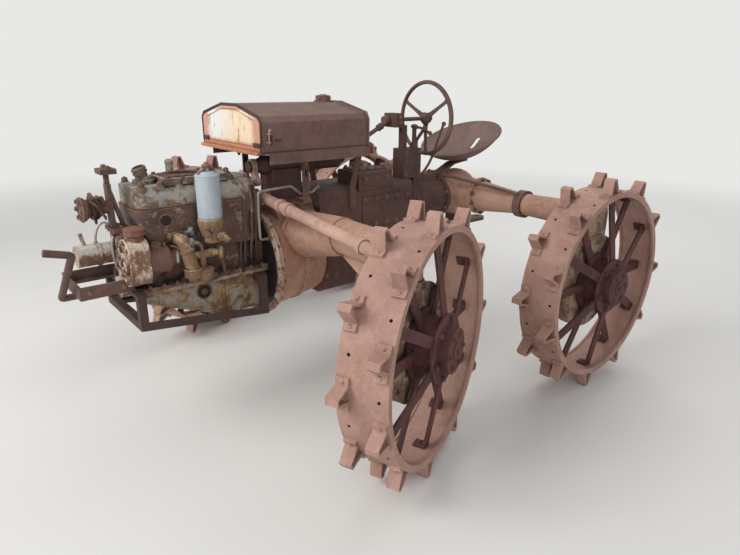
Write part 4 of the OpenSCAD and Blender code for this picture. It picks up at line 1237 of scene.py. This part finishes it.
@dataclass
class Engine:
    """Studs, plates, pipes and plugs of the engine; sizes in millimetres."""

    back_x: float = 185.0
    end_x: float = 745.0
    jacket: Triple = (205.0, 745.0, 140.0)
    head_box: Triple = (211.0, 739.0, 134.0)
    corner: float = 60.0
    seam_z: float = 161.0
    top_z: float = 491.0
    stud_y: float = 98.0
    elbow: tuple[float, float] = (678.0, 645.0)
    bowl: tuple[float, float] = (575.0, 222.0)
    float_pot: tuple[float, float] = (528.0, 224.0)
    drive_y: float = 175.0
    drive_z: float = 298.0
    cover_mid: tuple[float, float] = (175.0, 306.0)
    plate_x: float = 789.0
    crank_z: float = 157.0
    fan_z: float = 500.0
    can: tuple[float, float] = (474.0, 204.0)
    drain: tuple[float, float] = (501.0, 104.0)
    pan_y: float = 134.0

    def build(self) -> None:
        """Build what is fixed to the engine."""
        self.seams()
        self.head()
        self.side()
        self.intake()
        self.magneto()
        self.front()
        self.crank()
        self.breather()
        self.fan()
        self.canister()
        self.pan()

    def plan(self, x0: float, x1: float, half: float, z: float) -> list[Vector]:
        """Rounded outline of the block or the head seen from above.

        Args:
            x0: Its back.
            x1: Its front.
            half: Half its width.
            z: Height of the outline.

        Returns:
            Points of the outline in order.
        """
        r = self.corner
        out = []
        for cx, cy, turn in ((x1 - r, half - r, 0), (x0 + r, half - r, 90),
                             (x0 + r, r - half, 180), (x1 - r, r - half, 270)):
            for k in range(7):
                a = math.radians(turn + k * 15)
                out.append(at(cx + r * math.cos(a), cy + r * math.sin(a), z))
        return out

    def seams(self) -> None:
        """Bolts along the pan's flange and the gasket's bead under the head."""
        bolts, bead = Gather(), Gather()
        for s in (1, -1):
            for rise, way in ((14, UP), (-14, -UP)):
                bolts.bolt_row(*(at(x, s * 148, self.seam_z + rise)
                                 for x in (self.back_x + 30, self.end_x - 10)), way, 10, 0.014)
        bolts.show("seam_bolts", BOLT, "frame_rust")
        for (x0, x1, half), inset, z, radius in ((self.jacket, 1.5, -1, 0.0032),
                                                 (self.head_box, 0, 7, 0.0040)):
            bead.tube(self.plan(x0, x1, half - inset, self.top_z + z), radius, 8, closed=True)
        bead.show("head_gasket", BROWN, "engine_rust")

    def head(self) -> None:
        """Head studs on their bosses, cover plate, elbow's clamp and the small stubs on top."""
        studs, bosses, plate, mouth, stub = (Gather() for _ in range(5))
        for s in (1, -1):
            for k in range(7):
                x, y = 244 + k * 77, s * self.stud_y
                bosses.cone(at(x, y, 540), UP, 0.0190, 0.0165, 0.036, 20)
                studs.bolt(at(x, y, 576), UP, 0.026, 0.020)
        for y in (-58, 88):
            studs.bolt_row(at(330, y, 603), at(597, y, 603), UP, 5, 0.017)
        for k in range(3):
            a = math.radians(k * 120 + 40)
            studs.bolt(at(660 + 36 * math.cos(a), 36 * math.sin(a), 595), UP, 0.016, 0.010)
        studs.show("head_studs", BOLT, "engine_rust")
        bosses.show("head_bosses", HEAD, "engine_cream")
        plate.slab(at(402, -46, 602), at(590, 76, 610), 0.004)
        plate.tube([at(430, 60, 609), at(470, 30, 616), at(540, 10, 618), at(584, -8, 609)], 0.006,
                   10, smooth=2)
        end, way = at(self.elbow[0], 0, self.elbow[1]), Vector((18, 0, 50)).normalized()
        for back in (0.020, 0.006):
            plate.spun(end - way * back, way, [
                (0.0255, -0.006), (0.0305, -0.004), (0.0305, 0.002), (0.0255, 0.004)], 32)
        plate.ring(end, way, 0.0225, 0.0035, 32, 8)
        plate.show("head_plate", BROWN, "engine_rust")
        # The elbow's mouth is a flat near black disc: painted shade inside the pipe
        mouth.cone(end - way * 0.0005, way, 0.0205, 0.0205, 0.0016, 28)
        mouth.show("elbow_mouth", HOLE_SHADE, "engine_rust")
        stub.spun(at(545, -6, 650), UP, [
            (0.0165, -0.001), (0.0185, 0.004), (0.0175, 0.012), (0.0100, 0.019), (0.0030, 0.020)],
            24)
        stub.show("head_stub_cap", PIPE, "pipe_pale")

    def side(self) -> None:
        """The jacket's plug, the ribs behind the canister and the far side's cover."""
        ring, plug, bolts = Gather(), Gather(), Gather()
        ring.spun(at(637, 139, 443), LEFT, [
            (0.031, -0.001), (0.031, 0.003), (0.026, 0.006), (0.021, 0.003)], 32)
        for x, thick in ((229, 0.0065), (252, 0.0085), (283, 0.0065), (306, 0.0055)):
            ring.tube([at(x, 112, 186), at(x, 120, 262), at(x + 3, 137, 300), at(x + 2, 141, 360),
                       at(x - 2, 140, 452), at(x - 4, 137, 500), at(x - 6, 112, 558)], thick, 10,
                      smooth=2)
        ring.slab(at(330, -148, 316), at(640, -139, 430), 0.004)
        ring.show("block_ribs", CREAM, "engine_cream")
        plug.cone(at(637, 139, 443), LEFT, 0.0215, 0.0205, 0.0050, 28)
        plug.tube([at(240, 122, 190), at(243, 132, 262), at(266, 141, 322), at(262, 142, 430),
                   at(240, 141, 492), at(237, 126, 545)], 0.0042, 8, smooth=2)
        plug.show("block_plug", OIL, "engine_rust")
        for x in (342, 485, 628):
            for z in (328, 418):
                bolts.bolt(at(x, -148, z), -LEFT, 0.018, 0.010)
        bolts.show("side_bolts", BOLT, "frame_rust")

    def intake(self) -> None:
        """Flange, unions, bowl and small levers of the carburettor, and the pipes under it."""
        flange, levers, rod, drain = (Gather() for _ in range(4))
        flange.slab(at(560, 139, 356), at(640, 149, 392), 0.004)
        for x in (566, 634):
            flange.bolt(at(x, 149, 376), LEFT, 0.018, 0.010)
        way = (at(*self.bowl, 240) - at(598, 196, 360)).normalized()
        flange.spun(at(590, 204, 325), way, [
            (0.0275, -0.004), (0.0335, -0.001), (0.0335, 0.009), (0.0275, 0.012)], 32)
        flange.ring(at(*self.bowl, 246), UP, 0.0375, 0.0030, 36, 6)
        flange.spun(at(*self.bowl, 215), -UP, [
            (0.026, -0.002), (0.026, 0.012), (0.016, 0.022), (0.008, 0.024)], 24)
        flange.ring(at(*self.float_pot, 236), UP, 0.0375, 0.0030, 36, 6)
        flange.spun(at(*self.float_pot, 201), -UP, [
            (0.030, -0.002), (0.030, 0.006), (0.014, 0.014), (0.012, 0.026)], 24)
        flange.bolt_circle(at(446, 200, 294), -AHEAD, 0.026, 4, 0.013, 45)
        flange.show("intake_flanges", BRASS_RUST, "engine_rust")
        levers.tube([at(524, 200, 290), at(524, 202, 330), at(538, 206, 346), at(560, 204, 352)],
                    0.0085, 12, smooth=1)
        levers.spun(at(560, 204, 352), AHEAD, [
            (0.010, -0.004), (0.019, 0.000), (0.021, 0.010), (0.015, 0.018)], 22)
        levers.tube([at(576, 180, 388), at(549, 172, 392), at(532, 160, 382), at(520, 141, 372)],
                    0.0095, 12, smooth=1)
        levers.cone(at(549, 168, 378), UP, 0.013, 0.011, 0.028, 20)
        levers.show("intake_levers", BLUE_GREY, "canister_pale")
        rod.tube([at(594, 222, 300), at(612, 210, 326), at(632, 200, 346), at(650, 196, 352)],
                 0.0040, 8, smooth=1)
        rod.tube([at(456, 186, 286), at(430, 170, 262), at(406, 152, 214), at(404, 148, 172)],
                 0.0080, 10, smooth=2)
        rod.tube([
            at(*self.float_pot, 190), at(500, 216, 178), at(450, 190, 176), at(420, 160, 178)],
            0.0060, 10, smooth=2)
        rod.spun(at(491, 109, 214), LEFT, [
            (0.040, -0.001), (0.040, 0.006), (0.030, 0.010), (0.028, 0.005), (0.012, 0.005),
            (0.010, 0.012)], 30)
        rod.show("intake_pipes", BROWN, "engine_rust")
        drain.spun(at(589, 148, 174), UP, [
            (0.022, 0), (0.024, 0.008), (0.018, 0.022), (0.010, 0.030)], 22)
        drain.spun(at(646, 146, 174), UP, [(0.016, 0), (0.018, 0.010), (0.010, 0.018)], 20)
        drain.show("seam_lumps", OIL, "engine_rust")

    def magneto(self) -> None:
        """Straps round the magneto, its coupling and its terminals."""
        straps, hose, band = Gather(), Gather(), Gather()
        for x in (668, 702, 734):
            straps.spun(at(x, self.drive_y, self.drive_z), AHEAD, [
                (0.0515, -0.002), (0.0545, 0.000), (0.0545, 0.007), (0.0515, 0.009)], 44)
        straps.slab(at(690, 160, 367), at(720, 182, 374), 0.003)
        for x in (668, 734):
            straps.bolt(at(x, self.drive_y, 353), UP, 0.016, 0.010)
        straps.show("magneto_straps", BROWN, "engine_rust")
        hose.tube([at(x, y, self.drive_z) for x, y in (
            (634, self.drive_y), (622, 179), (604, 190))], 0.0255, 22, smooth=1)
        hose.show("magneto_coupling", HOSE, "frame_rust")
        band.spun(at(622, 180, self.drive_z), Vector((-1, 0.5, 0)), [
            (0.0250, -0.010), (0.0275, -0.007), (0.0275, 0.007), (0.0250, 0.010)], 32)
        band.show("coupling_band", CANISTER, "canister_pale")

    def front(self) -> None:
        """Bolts and openings of the covers, the filler's cap and the pipe loops."""
        bolts, holes, trim, rim, loop = (Gather() for _ in range(5))
        for y, z in ((134, 248), (134, 364), (216, 248), (216, 364), (175, 226), (175, 386)):
            bolts.bolt(at(823, y, z), AHEAD, 0.016, 0.009)
        bolts.bolt_circle(at(837, *self.cover_mid), AHEAD, 0.030, 4, 0.013, 45)
        for y, z in ((-104, 190), (-104, 290), (-104, 384), (60, 384), (-20, 384), (-20, 190)):
            bolts.bolt(at(self.plate_x, y, z), AHEAD, 0.018, 0.010)
        for y in (-26, 26):
            bolts.bolt(at(803, y, 652), UP, 0.020, 0.012)
            bolts.bolt(at(784, y * 1.7, 416), UP, 0.018, 0.010)
        for x in (830, 960):
            for s in (1, -1):
                bolts.bolt(at(x, 130 * s, 200), LEFT * s, 0.018, 0.010)
        bolts.show("front_bolts", BOLT, "frame_rust")
        # The covers' openings are thin near black slabs and a disc: painted shade in the holes
        for x, y0, z0, y1, z1 in (
                (822, 142, 330, 176, 346), (822, 192, 268, 206, 320), (788, -78, 300, -58, 356)):
            holes.slab(at(x, y0, z0), at(x + 3, y1, z1), 0.001)
        holes.cone(at(837, *self.cover_mid), AHEAD, 0.012, 0.012, 0.0016, 20)
        holes.show("cover_holes", HOLE_SHADE, "engine_rust")
        trim.spun(at(779, 180, 436), UP, [
            (0.0395, -0.002), (0.0415, 0.001), (0.0405, 0.006), (0.0300, 0.009),
            (0.0080, 0.0105)], 40)
        for z, radius, thick, steps in ((419, 0.0395, 0.0028, 40), (380, 0.0335, 0.0026, 36)):
            trim.ring(at(779, 180, z), UP, radius, thick, steps, 8)
        trim.show("filler_cap", RED_RUST, "engine_rust")
        mid_y, mid_z = self.cover_mid
        rim.tube([at(822, mid_y + y, mid_z + z) for y, z in (
            (-56, -46), (-56, 46), (-42, 78), (-10, 92), (10, 92), (42, 78), (56, 46), (56, -46),
            (42, -78), (10, -92), (-10, -92), (-42, -78))], 0.0045, 8, closed=True, smooth=1)
        rim.spun(at(self.plate_x, -10, 214), AHEAD, [
            (0.046, -0.001), (0.046, 0.006), (0.034, 0.010), (0.030, 0.004), (0.016, 0.004),
            (0.014, 0.012)], 36)
        rim.show("cover_rims", COVER, "engine_cream")
        loop.tube([at(850, -112, 322), at(854, -102, 360), at(838, -100, 404), at(816, -98, 420),
                   at(794, -92, 410), at(786, -84, 384)], 0.0050, 10, smooth=3)
        loop.tube([at(786, 110, 380), at(812, 122, 384), at(832, 132, 362), at(828, 140, 330)],
                  0.0045, 10, smooth=3)
        loop.tube([
            at(self.plate_x, -40, 372), at(806, -36, 356), at(812, -30, 300), at(806, -24, 240),
            at(792, -20, 206)], 0.0060, 10, smooth=3)
        loop.show("front_pipes", PIPE, "pipe_pale")

    def crank(self) -> None:
        """The starting crank with its two bends, and the dog's collar on its shaft."""
        crank = Gather()
        foot = at(815, 0, self.crank_z)
        crank.pipe([foot, at(1036, 0, self.crank_z), at(1016, 214, 384), at(1106, 214, 408)],
                   0.0139, 0.034, 20)
        crank.spun(foot, AHEAD, [
            (0.015, 0.000), (0.021, 0.002), (0.021, 0.020), (0.015, 0.024)], 26)
        piece = crank.show("starting_crank", FRAME, "frame_rust")
        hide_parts("hand_crank")

    def breather(self) -> None:
        """The thin bent pipe from the bell's flange over to the gearbox."""
        pipe, nuts = Gather(), Gather()
        pipe.pipe([at(x, y, z) for x, y, z in (
            (186.4, 172, 300), (236, 182, 304), (242, 190, 420), (240, 192, 524), (60, 177, 528),
            (4, 174, 482), (-70, 160, 484), (-132, 120, 502), (-132, 120, 480))], 0.006, 0.040, 14)
        piece = pipe.show("breather_pipe", PIPE, "pipe_pale")
        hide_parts("vent_pipe")
        for point, way in ((at(186.4, 172, 300), AHEAD), (at(-132, 120, 482), UP)):
            nuts.cone(point, way, 0.0125, 0.0115, 0.010, 6)
        nuts.show("breather_nuts", BOLT, "frame_rust")

    def fan(self) -> None:
        """Flange bolts of the fan's hub and the stubs of its blades."""
        hub, blades = Gather(), Gather()
        hub.bolt_circle(at(918, 0, self.fan_z), AHEAD, 0.036, 6, 0.018, 0)
        hub.ring(at(914, 0, self.fan_z), AHEAD, 0.047, 0.0040, 40, 8)
        hub.show("fan_bolts", BOLT, "frame_rust")
        for x in (842, 872):
            for k in range(4):
                a = math.radians(k * 90 + (20 if x > 850 else 50))
                out = Vector((0, math.cos(a), math.sin(a)))
                side = Vector((0.55, -math.sin(a) * 0.83, math.cos(a) * 0.83))
                root = at(x, 0, self.fan_z) + out * 0.034
                blades.plate([root + out * d + side * w for d, w in (
                    (0, -0.024), (0, 0.024), (0.030, 0.006), (0.030, -0.004))],
                    side.cross(out).normalized() * 0.004)
        blades.show("fan_blade_stubs", BROWN, "engine_cream")

    def canister(self) -> None:
        """Cup, clamp, elbow's nut and yoke of the tall canister."""
        foot = at(*self.can, 0)
        cup, collar, small, yoke = (Gather() for _ in range(4))
        cup.spun(foot + UP * 0.346, UP, [
            (0.026, -0.006), (0.0312, 0.000), (0.0312, 0.018), (0.0410, 0.026), (0.0545, 0.080),
            (0.0545, 0.092), (0.0508, 0.095)], 44)
        cup.spun(at(444, 248, 366), Vector((-30, 44, -26)), [
            (0.0175, -0.012), (0.0215, -0.009), (0.0215, 0.001), (0.0150, 0.004),
            (0.0130, 0.014)], 26)
        cup.bolt(at(437.5, 257.6, 360.3), Vector((-30, 44, -26)), 0.024, 0.014)
        cup.ring(foot + UP * 0.447, UP, 0.0503, 0.0018, 48, 8)
        cup.show("canister_cup", CUP, "engine_rust")
        collar.ring(foot + UP * 0.6195, UP, 0.0492, 0.0022, 48, 8)
        collar.show("canister_collar", CANISTER, "canister_pale")
        small.spun(at(506, 238, 386), Vector((0.75, 0.66, 0.0)), [
            (0.012, -0.008), (0.016, 0.000), (0.016, 0.010), (0.008, 0.014)], 20)
        small.bolt(at(488, 246, 404), LEFT, 0.020, 0.012)
        small.show("canister_fittings", BROWN, "engine_rust")
        yoke.tube([at(438, 196, 626), at(442, 197, 637), at(456, 200, 645), at(*self.can, 648),
                   at(492, 208, 645), at(506, 211, 637), at(510, 212, 626)], 0.0062, 14, smooth=1)
        for x, y in ((430, 190), (498, 204)):
            yoke.slab(at(x, y, 622), at(x + 20, y + 14, 634), 0.004)
        yoke.spun(at(*self.can, 652), UP, [
            (0.016, 0.000), (0.019, 0.004), (0.019, 0.010), (0.010, 0.014), (0.008, 0.020)], 22)
        yoke.show("canister_yoke", BRASS_RUST, "linkage_rust")

    def pan(self) -> None:
        """Recess, plugs and beads of the oil pan."""
        recess, plug, beads = Gather(), Gather(), Gather()
        x, z = self.drain
        recess.cone(at(x, self.pan_y - 1, z), LEFT, 0.0315, 0.0300, 0.0030, 32)
        recess.show("pan_recess", OIL, "engine_rust")
        plug.ring(at(x, self.pan_y + 0.5, z), LEFT, 0.0325, 0.0030, 40, 8)
        plug.spun(at(x, self.pan_y + 1, z), LEFT, [
            (0.014, -0.001), (0.014, 0.004), (0.006, 0.006)], 20)
        plug.bolt(at(330, 0, -25), -UP, 0.034, 0.016)
        plug.show("pan_plugs", BROWN, "engine_rust")
        for y in (self.pan_y, -self.pan_y):
            beads.tube([at(x, y, z) for x, z in (
                (740, 112), (600, 54), (470, 6), (408, -14))], 0.0040, 8, smooth=2)
            beads.tube([
                at(462, y * 133 / 134, 144), at(462, y, 80), at(466, y, 8)], 0.0040, 8, smooth=1)
        beads.show("pan_beads", PAN, "engine_cream")


@dataclass
class FuelTank:
    """Front panel, lip, hems, latches and cap of the fuel tank; sizes in millimetres."""

    front: float = 257.0
    back: float = -312.0
    half: float = 275.0
    low: float = 698.0
    side: float = 146.0
    roof: float = 43.0
    crown: float = 70.0

    def outline(self, inset: float) -> list[tuple[float, float]]:
        """Outline of the tank's end in Y and Z.

        Args:
            inset: How far it lies inside the tank's own outline.

        Returns:
            Points in millimetres, counter clockwise.
        """
        h, s = self.half - inset, self.low + self.side
        top = s + self.roof - inset
        return [(-h, self.low + inset), (h, self.low + inset), (h, s - 24), (h - 18, s - inset),
                (self.crown, top), (-self.crown, top), (18 - h, s - inset), (-h, s - 24)]

    def build(self) -> None:
        """Build the tank's small pieces."""
        self.panel()
        self.hems()
        self.latches()
        self.cap()
        self.posts()

    def panel(self) -> None:
        """The pale front panel, a little domed, and the lip under it."""
        made = Gather()
        mid = self.low + (self.side + self.roof) / 2
        rings = []
        for inset, share, x in ((9.0, 1.0, -3.0), (9.0, 0.996, 1.0), (9.0, 0.90, 2.2),
                                (9.0, 0.86, -0.5), (9.0, 0.60, 1.5), (9.0, 0.25, 2.5)):
            rings.append(made.corners(at(self.front + x, y * share, mid + (z - mid) * share)
                                      for y, z in self.outline(inset)))
        made.wall(rings)
        made.bm.faces.new(rings[-1])
        made.show("tank_panel", TANK_CREAM, "tank_brown")
        lip = Gather()
        for x0, x1, inset, z0, z1, bevel in (
                (-2, 17, 4, -2, 3, 0.002), (16, 20, 4, -11, 4, 0.0015),
                (-1, 4.5, 10, 1, 17, 0.002)):
            lip.slab(at(self.front + x0, inset - self.half, self.low + z0),
                     at(self.front + x1, self.half - inset, self.low + z1), bevel)
        lip.show("tank_lip", LIP, "tank_brown")

    def hems(self) -> None:
        """Rolled hems round the ends, the dark seam over the rails and the rivets."""
        hem, made, rivets = Gather(), Gather(), Gather()
        hem.tube([at(self.front - 2, y, z) for y, z in self.outline(2.0)], 0.0065, 10, closed=True)
        for s in (1, -1):
            hem.tube([at(x, s * (self.half + 1), self.low + 1)
                      for x in (self.back - 4, self.front)], 0.0030, 8)
            hem.side_slab(s, (self.front - 4, 215, self.low + 20),
                          (self.front + 7, 271, self.low + 38), 0.002)
        hem.show("tank_front_hem", HEM, "tank_brown")
        for x, inset in ((self.back + 25, -2.0), (self.back - 3.5, -3.0)):
            made.tube([at(x, y, z) for y, z in self.outline(inset)], 0.0040, 8, closed=True)
        made.show("tank_rear_hems", TANK, "tank_brown")
        for s in (1, -1):
            for k in range(7):
                rivets.rivet(at(-292 + k * 80, s * self.half, self.low - 28), LEFT * s, 0.0075,
                             0.0045)
            rivets.side_slab(s, (-338, 258, self.low - 10), (-322, 280, self.low + 12), 0.003)
        rivets.show("tank_rivets", TANK, "tank_brown")

    def latches(self) -> None:
        """The hook latch beside each front corner and the small catch behind it."""
        made, catch = Gather(), Gather()
        for s in (1, -1):
            y = s * (self.half + 4)
            made.tube([at(222, y, 734), at(222, y, 778), at(220, y, 786)], 0.0032, 10)
            for z0, z1, wide in ((772, 777, 9), (737, 742, 10)):
                made.side_slab(s, (222 - wide, self.half - 1, z0),
                               (222 + wide, self.half + 8, z1), 0.0015)
            made.spun(at(219, y, 784), Vector((-0.35, 0, 1)), [
                (0.003, -0.002), (0.006, 0.002), (0.006, 0.008), (0.002, 0.012)], 14)
            for x0, x1, z0, z1 in ((160, 194, 744, 750), (206, 212, 728, 768)):
                catch.side_slab(s, (x0, self.half - 1, z0), (x1, self.half + 5, z1), 0.0015)
        made.show("tank_latches", LINK, "tank_brown")
        catch.spun(at(235, 30, self.low - 8), -UP, [
            (0.016, -0.001), (0.016, 0.006), (0.006, 0.016), (0.005, 0.024)], 18)
        catch.show("tank_catches", HEM, "tank_brown")

    def cap(self) -> None:
        """The filler's cap with its lugs."""
        made = Gather()
        top = self.low + self.side + self.roof + 26
        made.spun(at(-255, 0, top - 1), UP, [
            (0.0350, 0), (0.0372, 0.003), (0.0350, 0.006), (0.0180, 0.008), (0.0160, 0.011)], 32)
        for k in range(4):
            a = math.tau * k / 4 + 0.4
            mid = at(-255 + 37 * math.cos(a), 37 * math.sin(a), top - 8)
            made.slab(mid - Vector((0.005, 0.006, 0.006)), mid + Vector((0.005, 0.006, 0.008)),
                      0.002, Matrix.Rotation(a, 4, "Z"))
        made.show("tank_cap", RED_RUST, "tank_brown")

    def posts(self) -> None:
        """The flat stay on the far side, the slots in the front posts and their bolts."""
        stay, slots, bolts = Gather(), Gather(), Gather()
        stay.plate([at(x, -POST_Y, z) for x, z in (
            (72, self.low), (102, self.low), (102, 340), (95, 350), (87, 362), (80, 371),
            (72, 376))], LEFT * 0.009)
        stay.show("tank_stay", FRAME, "frame_rust")
        # The slots are thin near black slabs: painted shade where the slots would show through
        slots.slab(at(83, -190.6, 590), at(91, -189.5, 624), 0.0004)
        bolts.bolt(at(87, -190, 666), LEFT, 0.020, 0.011)
        for s in (1, -1):
            slots.side_slab(s, (-13, POST_Y - 0.6, 566), (-5, POST_Y + 0.5, 600), 0.0004)
            bolts.bolt(at(-14, POST_Y * s, 453), LEFT * s, 0.030, 0.018)
            bolts.bolt(at(-9, POST_Y * s, 630), LEFT * s, 0.020, 0.011)
        slots.show("post_slots", HOLE_SHADE, "frame_rust")
        bolts.show("post_bolts", BOLT, "frame_rust")


@dataclass
class DriverPlace:
    """Levers, plates and rolled edges round the driver's seat; sizes in millimetres."""

    wheel_x: float = -929.0
    wheel_y: float = 50.0
    wheel_z: float = 790.0
    wheel_dia: float = 410.0
    wheel_rim: float = 22.0
    seat_x: float = -1330.0
    seat_low: float = 551.0
    seat_r: float = 248.0
    seat_curve: float = 330.0
    seat_lean: float = 21.0
    slot_x: float = -118.0
    slot_w: float = 32.0
    slot_run: float = 30.0

    def build(self) -> None:
        """Build the small pieces at the driver's place."""
        self.hand_wheel()
        self.column()
        self.shaft()
        self.seat()

    def hand_wheel(self) -> None:
        """The hand wheel with its cast arms, its hub, its shaft's end and its nut."""
        hub = at(self.wheel_x, self.wheel_y, self.wheel_z)
        ring = (self.wheel_dia - self.wheel_rim) / 2 * MM
        wheel, made = Gather(), Gather()
        wheel.ring(hub, AHEAD, ring, self.wheel_rim / 2 * MM, 96, 16)
        wheel.ring(hub + AHEAD * 0.0085, AHEAD, ring - 0.0035, 0.0065, 96, 10)
        wheel.spun(hub, AHEAD, [
            (0.022, -0.022), (0.028, -0.018), (0.030, -0.004), (0.030, 0.012), (0.022, 0.026),
            (0.011, 0.028), (0.011, 0.300)], 32)
        for angle in (62, 182, 302):
            a = math.radians(angle)
            out = Vector((0, -math.sin(a), math.cos(a)))
            side = AHEAD.cross(out)
            edge = [(0.016, 0.022), (0.045, 0.0125), (0.110, 0.0085), (ring - 0.030, 0.0085),
                    (ring - 0.004, 0.0150)]
            edge += [(d, -w) for d, w in reversed(edge)]
            wheel.plate([hub - AHEAD * 0.003 + (out * d + side * w) for d, w in edge],
                        AHEAD * 0.009)
            wheel.tube([hub + out * d for d in (0.02, 0.12, ring)], 0.0068, 12)
        piece = wheel.show("hand_wheel", FRAME, "spoke_rust", Body.HAND_WHEEL)
        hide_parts("steering_wheel")
        made.bolt(hub - AHEAD * 0.022, -AHEAD, 0.032, 0.018)
        made.ring(hub + AHEAD * 0.010, AHEAD, 0.0305, 0.003, 32, 6)
        made.show("hand_wheel_nut", FRAME, "spoke_rust", Body.HAND_WHEEL)

    def column(self) -> None:
        """Bolts and plate of the column, the lever's cap and the side levers."""
        made, plate, lever = Gather(), Gather(), Gather()
        for x in (-806, -706):
            for z in (500, 622):
                made.bolt(at(x, 130, z), LEFT, 0.015, 0.009)
        for z in (776, 806):
            made.bolt(at(-674, 112, z), LEFT, 0.018, 0.010)
        for z in (360, 452):
            made.bolt(at(-812, 128, z), LEFT, 0.020, 0.011)
        made.show("column_bolts", BOLT, "frame_rust")
        for z0, z1 in ((546, 552), (590, 595)):
            plate.slab(at(-812, 129, z0), at(-700, 133, z1), 0.0015)
        plate.spun(at(-792, 100, 744), UP, [
            (0.0122, 0), (0.019, 0.004), (0.021, 0.012), (0.014, 0.020), (0.006, 0.022)], 22)
        plate.spun(at(-792, 100, 640), UP, [
            (0.022, -0.002), (0.022, 0.012), (0.014, 0.030), (0.0122, 0.034)], 24)
        plate.show("column_plates", DARK, "housing_dark")
        lever.tube([at(-790, 102, 742), at(-818, 106, 750), at(-850, 112, 738),
                    at(-890, 122, 716)], 0.0070, 12, smooth=2)
        lever.spun(at(-888, 121, 717), Vector((-40, 10, -22)), [
            (0.0070, -0.004), (0.0115, 0.000), (0.0125, 0.008), (0.0060, 0.015)], 18)
        lever.tube([at(-899, 66, 731), at(-908, 66, 741)], 0.0145, 16)
        lever.tube([at(-812, 66, 640), at(-838, 62, 672), at(-856, 62, 668), at(-842, 66, 634)],
                   0.0055, 10, smooth=2)
        lever.tube([at(-836, 96, 464), at(-936, 92, 546), at(-1012, 84, 700), at(-1046, 80, 756)],
                   0.0075, 12, smooth=2)
        lever.spun(at(-1043, 80, 750), Vector((-36, -4, 56)), [
            (0.0075, -0.004), (0.0120, 0.002), (0.0130, 0.012), (0.0060, 0.020)], 18)
        lever.show("levers", FRAME, "frame_rust")

    def shaft(self) -> None:
        """Couplings at both ends of the inclined shaft."""
        made = Gather()
        low, high = at(-330, 0, 606), at(-624, 50, 776)
        way = (high - low).normalized()
        made.spun(low - way * 0.002, way, [
            (0.030, 0.000), (0.034, 0.006), (0.034, 0.030), (0.024, 0.038), (0.024, 0.052),
            (0.0115, 0.058)], 28)
        made.spun(high - way * 0.060, way, [
            (0.0115, 0.000), (0.018, 0.006), (0.018, 0.034), (0.0115, 0.040)], 24)
        made.show("shaft_couplings", DARK, "housing_dark")

    def seat(self) -> None:
        """Rolled rim of the seat, the lip round its slot and the bolts that hold it."""
        place = Matrix.Translation(at(self.seat_x, 0, self.seat_low)) @ Matrix.Rotation(
            math.radians(self.seat_lean), 4, "Y")
        rim, bolts, inner = Gather(place), Gather(), Gather(place)
        rim.ring(Vector((0, 0, self.dip(self.seat_r) * MM)), UP, self.seat_r * MM - 0.002, 0.0055,
                 80, 10)
        r = self.slot_w / 2 + 4
        slot = []
        for side in (1, -1):
            for k in range(9):
                a = math.radians(-90 + 22.5 * k) + (0 if side > 0 else math.pi)
                x = self.slot_x + side * self.slot_run + r * math.cos(a)
                y = r * math.sin(a)
                slot.append(Vector((x, y, self.dip(math.hypot(x, y)) + 5)) * MM)
        rim.tube(slot, 0.0038, 10, closed=True)
        rim.show("seat_rim", SEAT, "seat_rust")
        for y in (-18, 18):
            bolts.bolt_row(at(-1035, y, 469), at(-935, y, 469), UP, 2, 0.022)
        bolts.show("seat_bolts", BOLT, "frame_rust")
        for x, z, radius, height in ((0, 0.0055, 0.012, 0.006), (0.034, 0.0070, 0.009, 0.005)):
            inner.rivet(Vector((x, 0, z)), UP, radius, height)
        inner.show("seat_rivets", BOLT, "frame_rust")

    def dip(self, out: float) -> float:
        """Height of the seat's bowl at a distance from its lowest point, in millimetres."""
        return self.seat_curve - math.sqrt(self.seat_curve ** 2 - out ** 2)


def dress_nodes() -> None:
    """Give every solid of the chassis and the linkage its finish."""
    for name, finish in NODE_FINISH.items():
        dress(name, finish)


def plain(box: Iterable[Vector]) -> list[list[float]]:
    """Turn a box's corners into plain lists."""
    return [[float(v) for v in corner] for corner in box]


def main() -> None:
    """Build the studio and every sub-assembly in order, and measure the bounds of the solids and
    of what is shown.
    """
    logging.basicConfig(level=logging.INFO, format="%(message)s")
    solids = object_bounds()
    Studio().build()
    dress_nodes()
    for body in (Body.FRONT_LEFT, Body.FRONT_RIGHT, Body.REAR_LEFT, Body.REAR_RIGHT):
        Wheel(body).build()
    SteeredEnd(Side.LEFT, Body.KNUCKLE_LEFT).build()
    SteeredEnd(Side.RIGHT, Body.KNUCKLE_RIGHT).build()
    for part in (Linkage(), Housings(), Engine(), FuelTank(), DriverPlace()):
        part.build()
    bpy.context.scene.view_settings.view_transform = "Standard"
    {"solids": plain(solids), "shown": plain(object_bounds())}


if __name__ == "__main__":
    main()
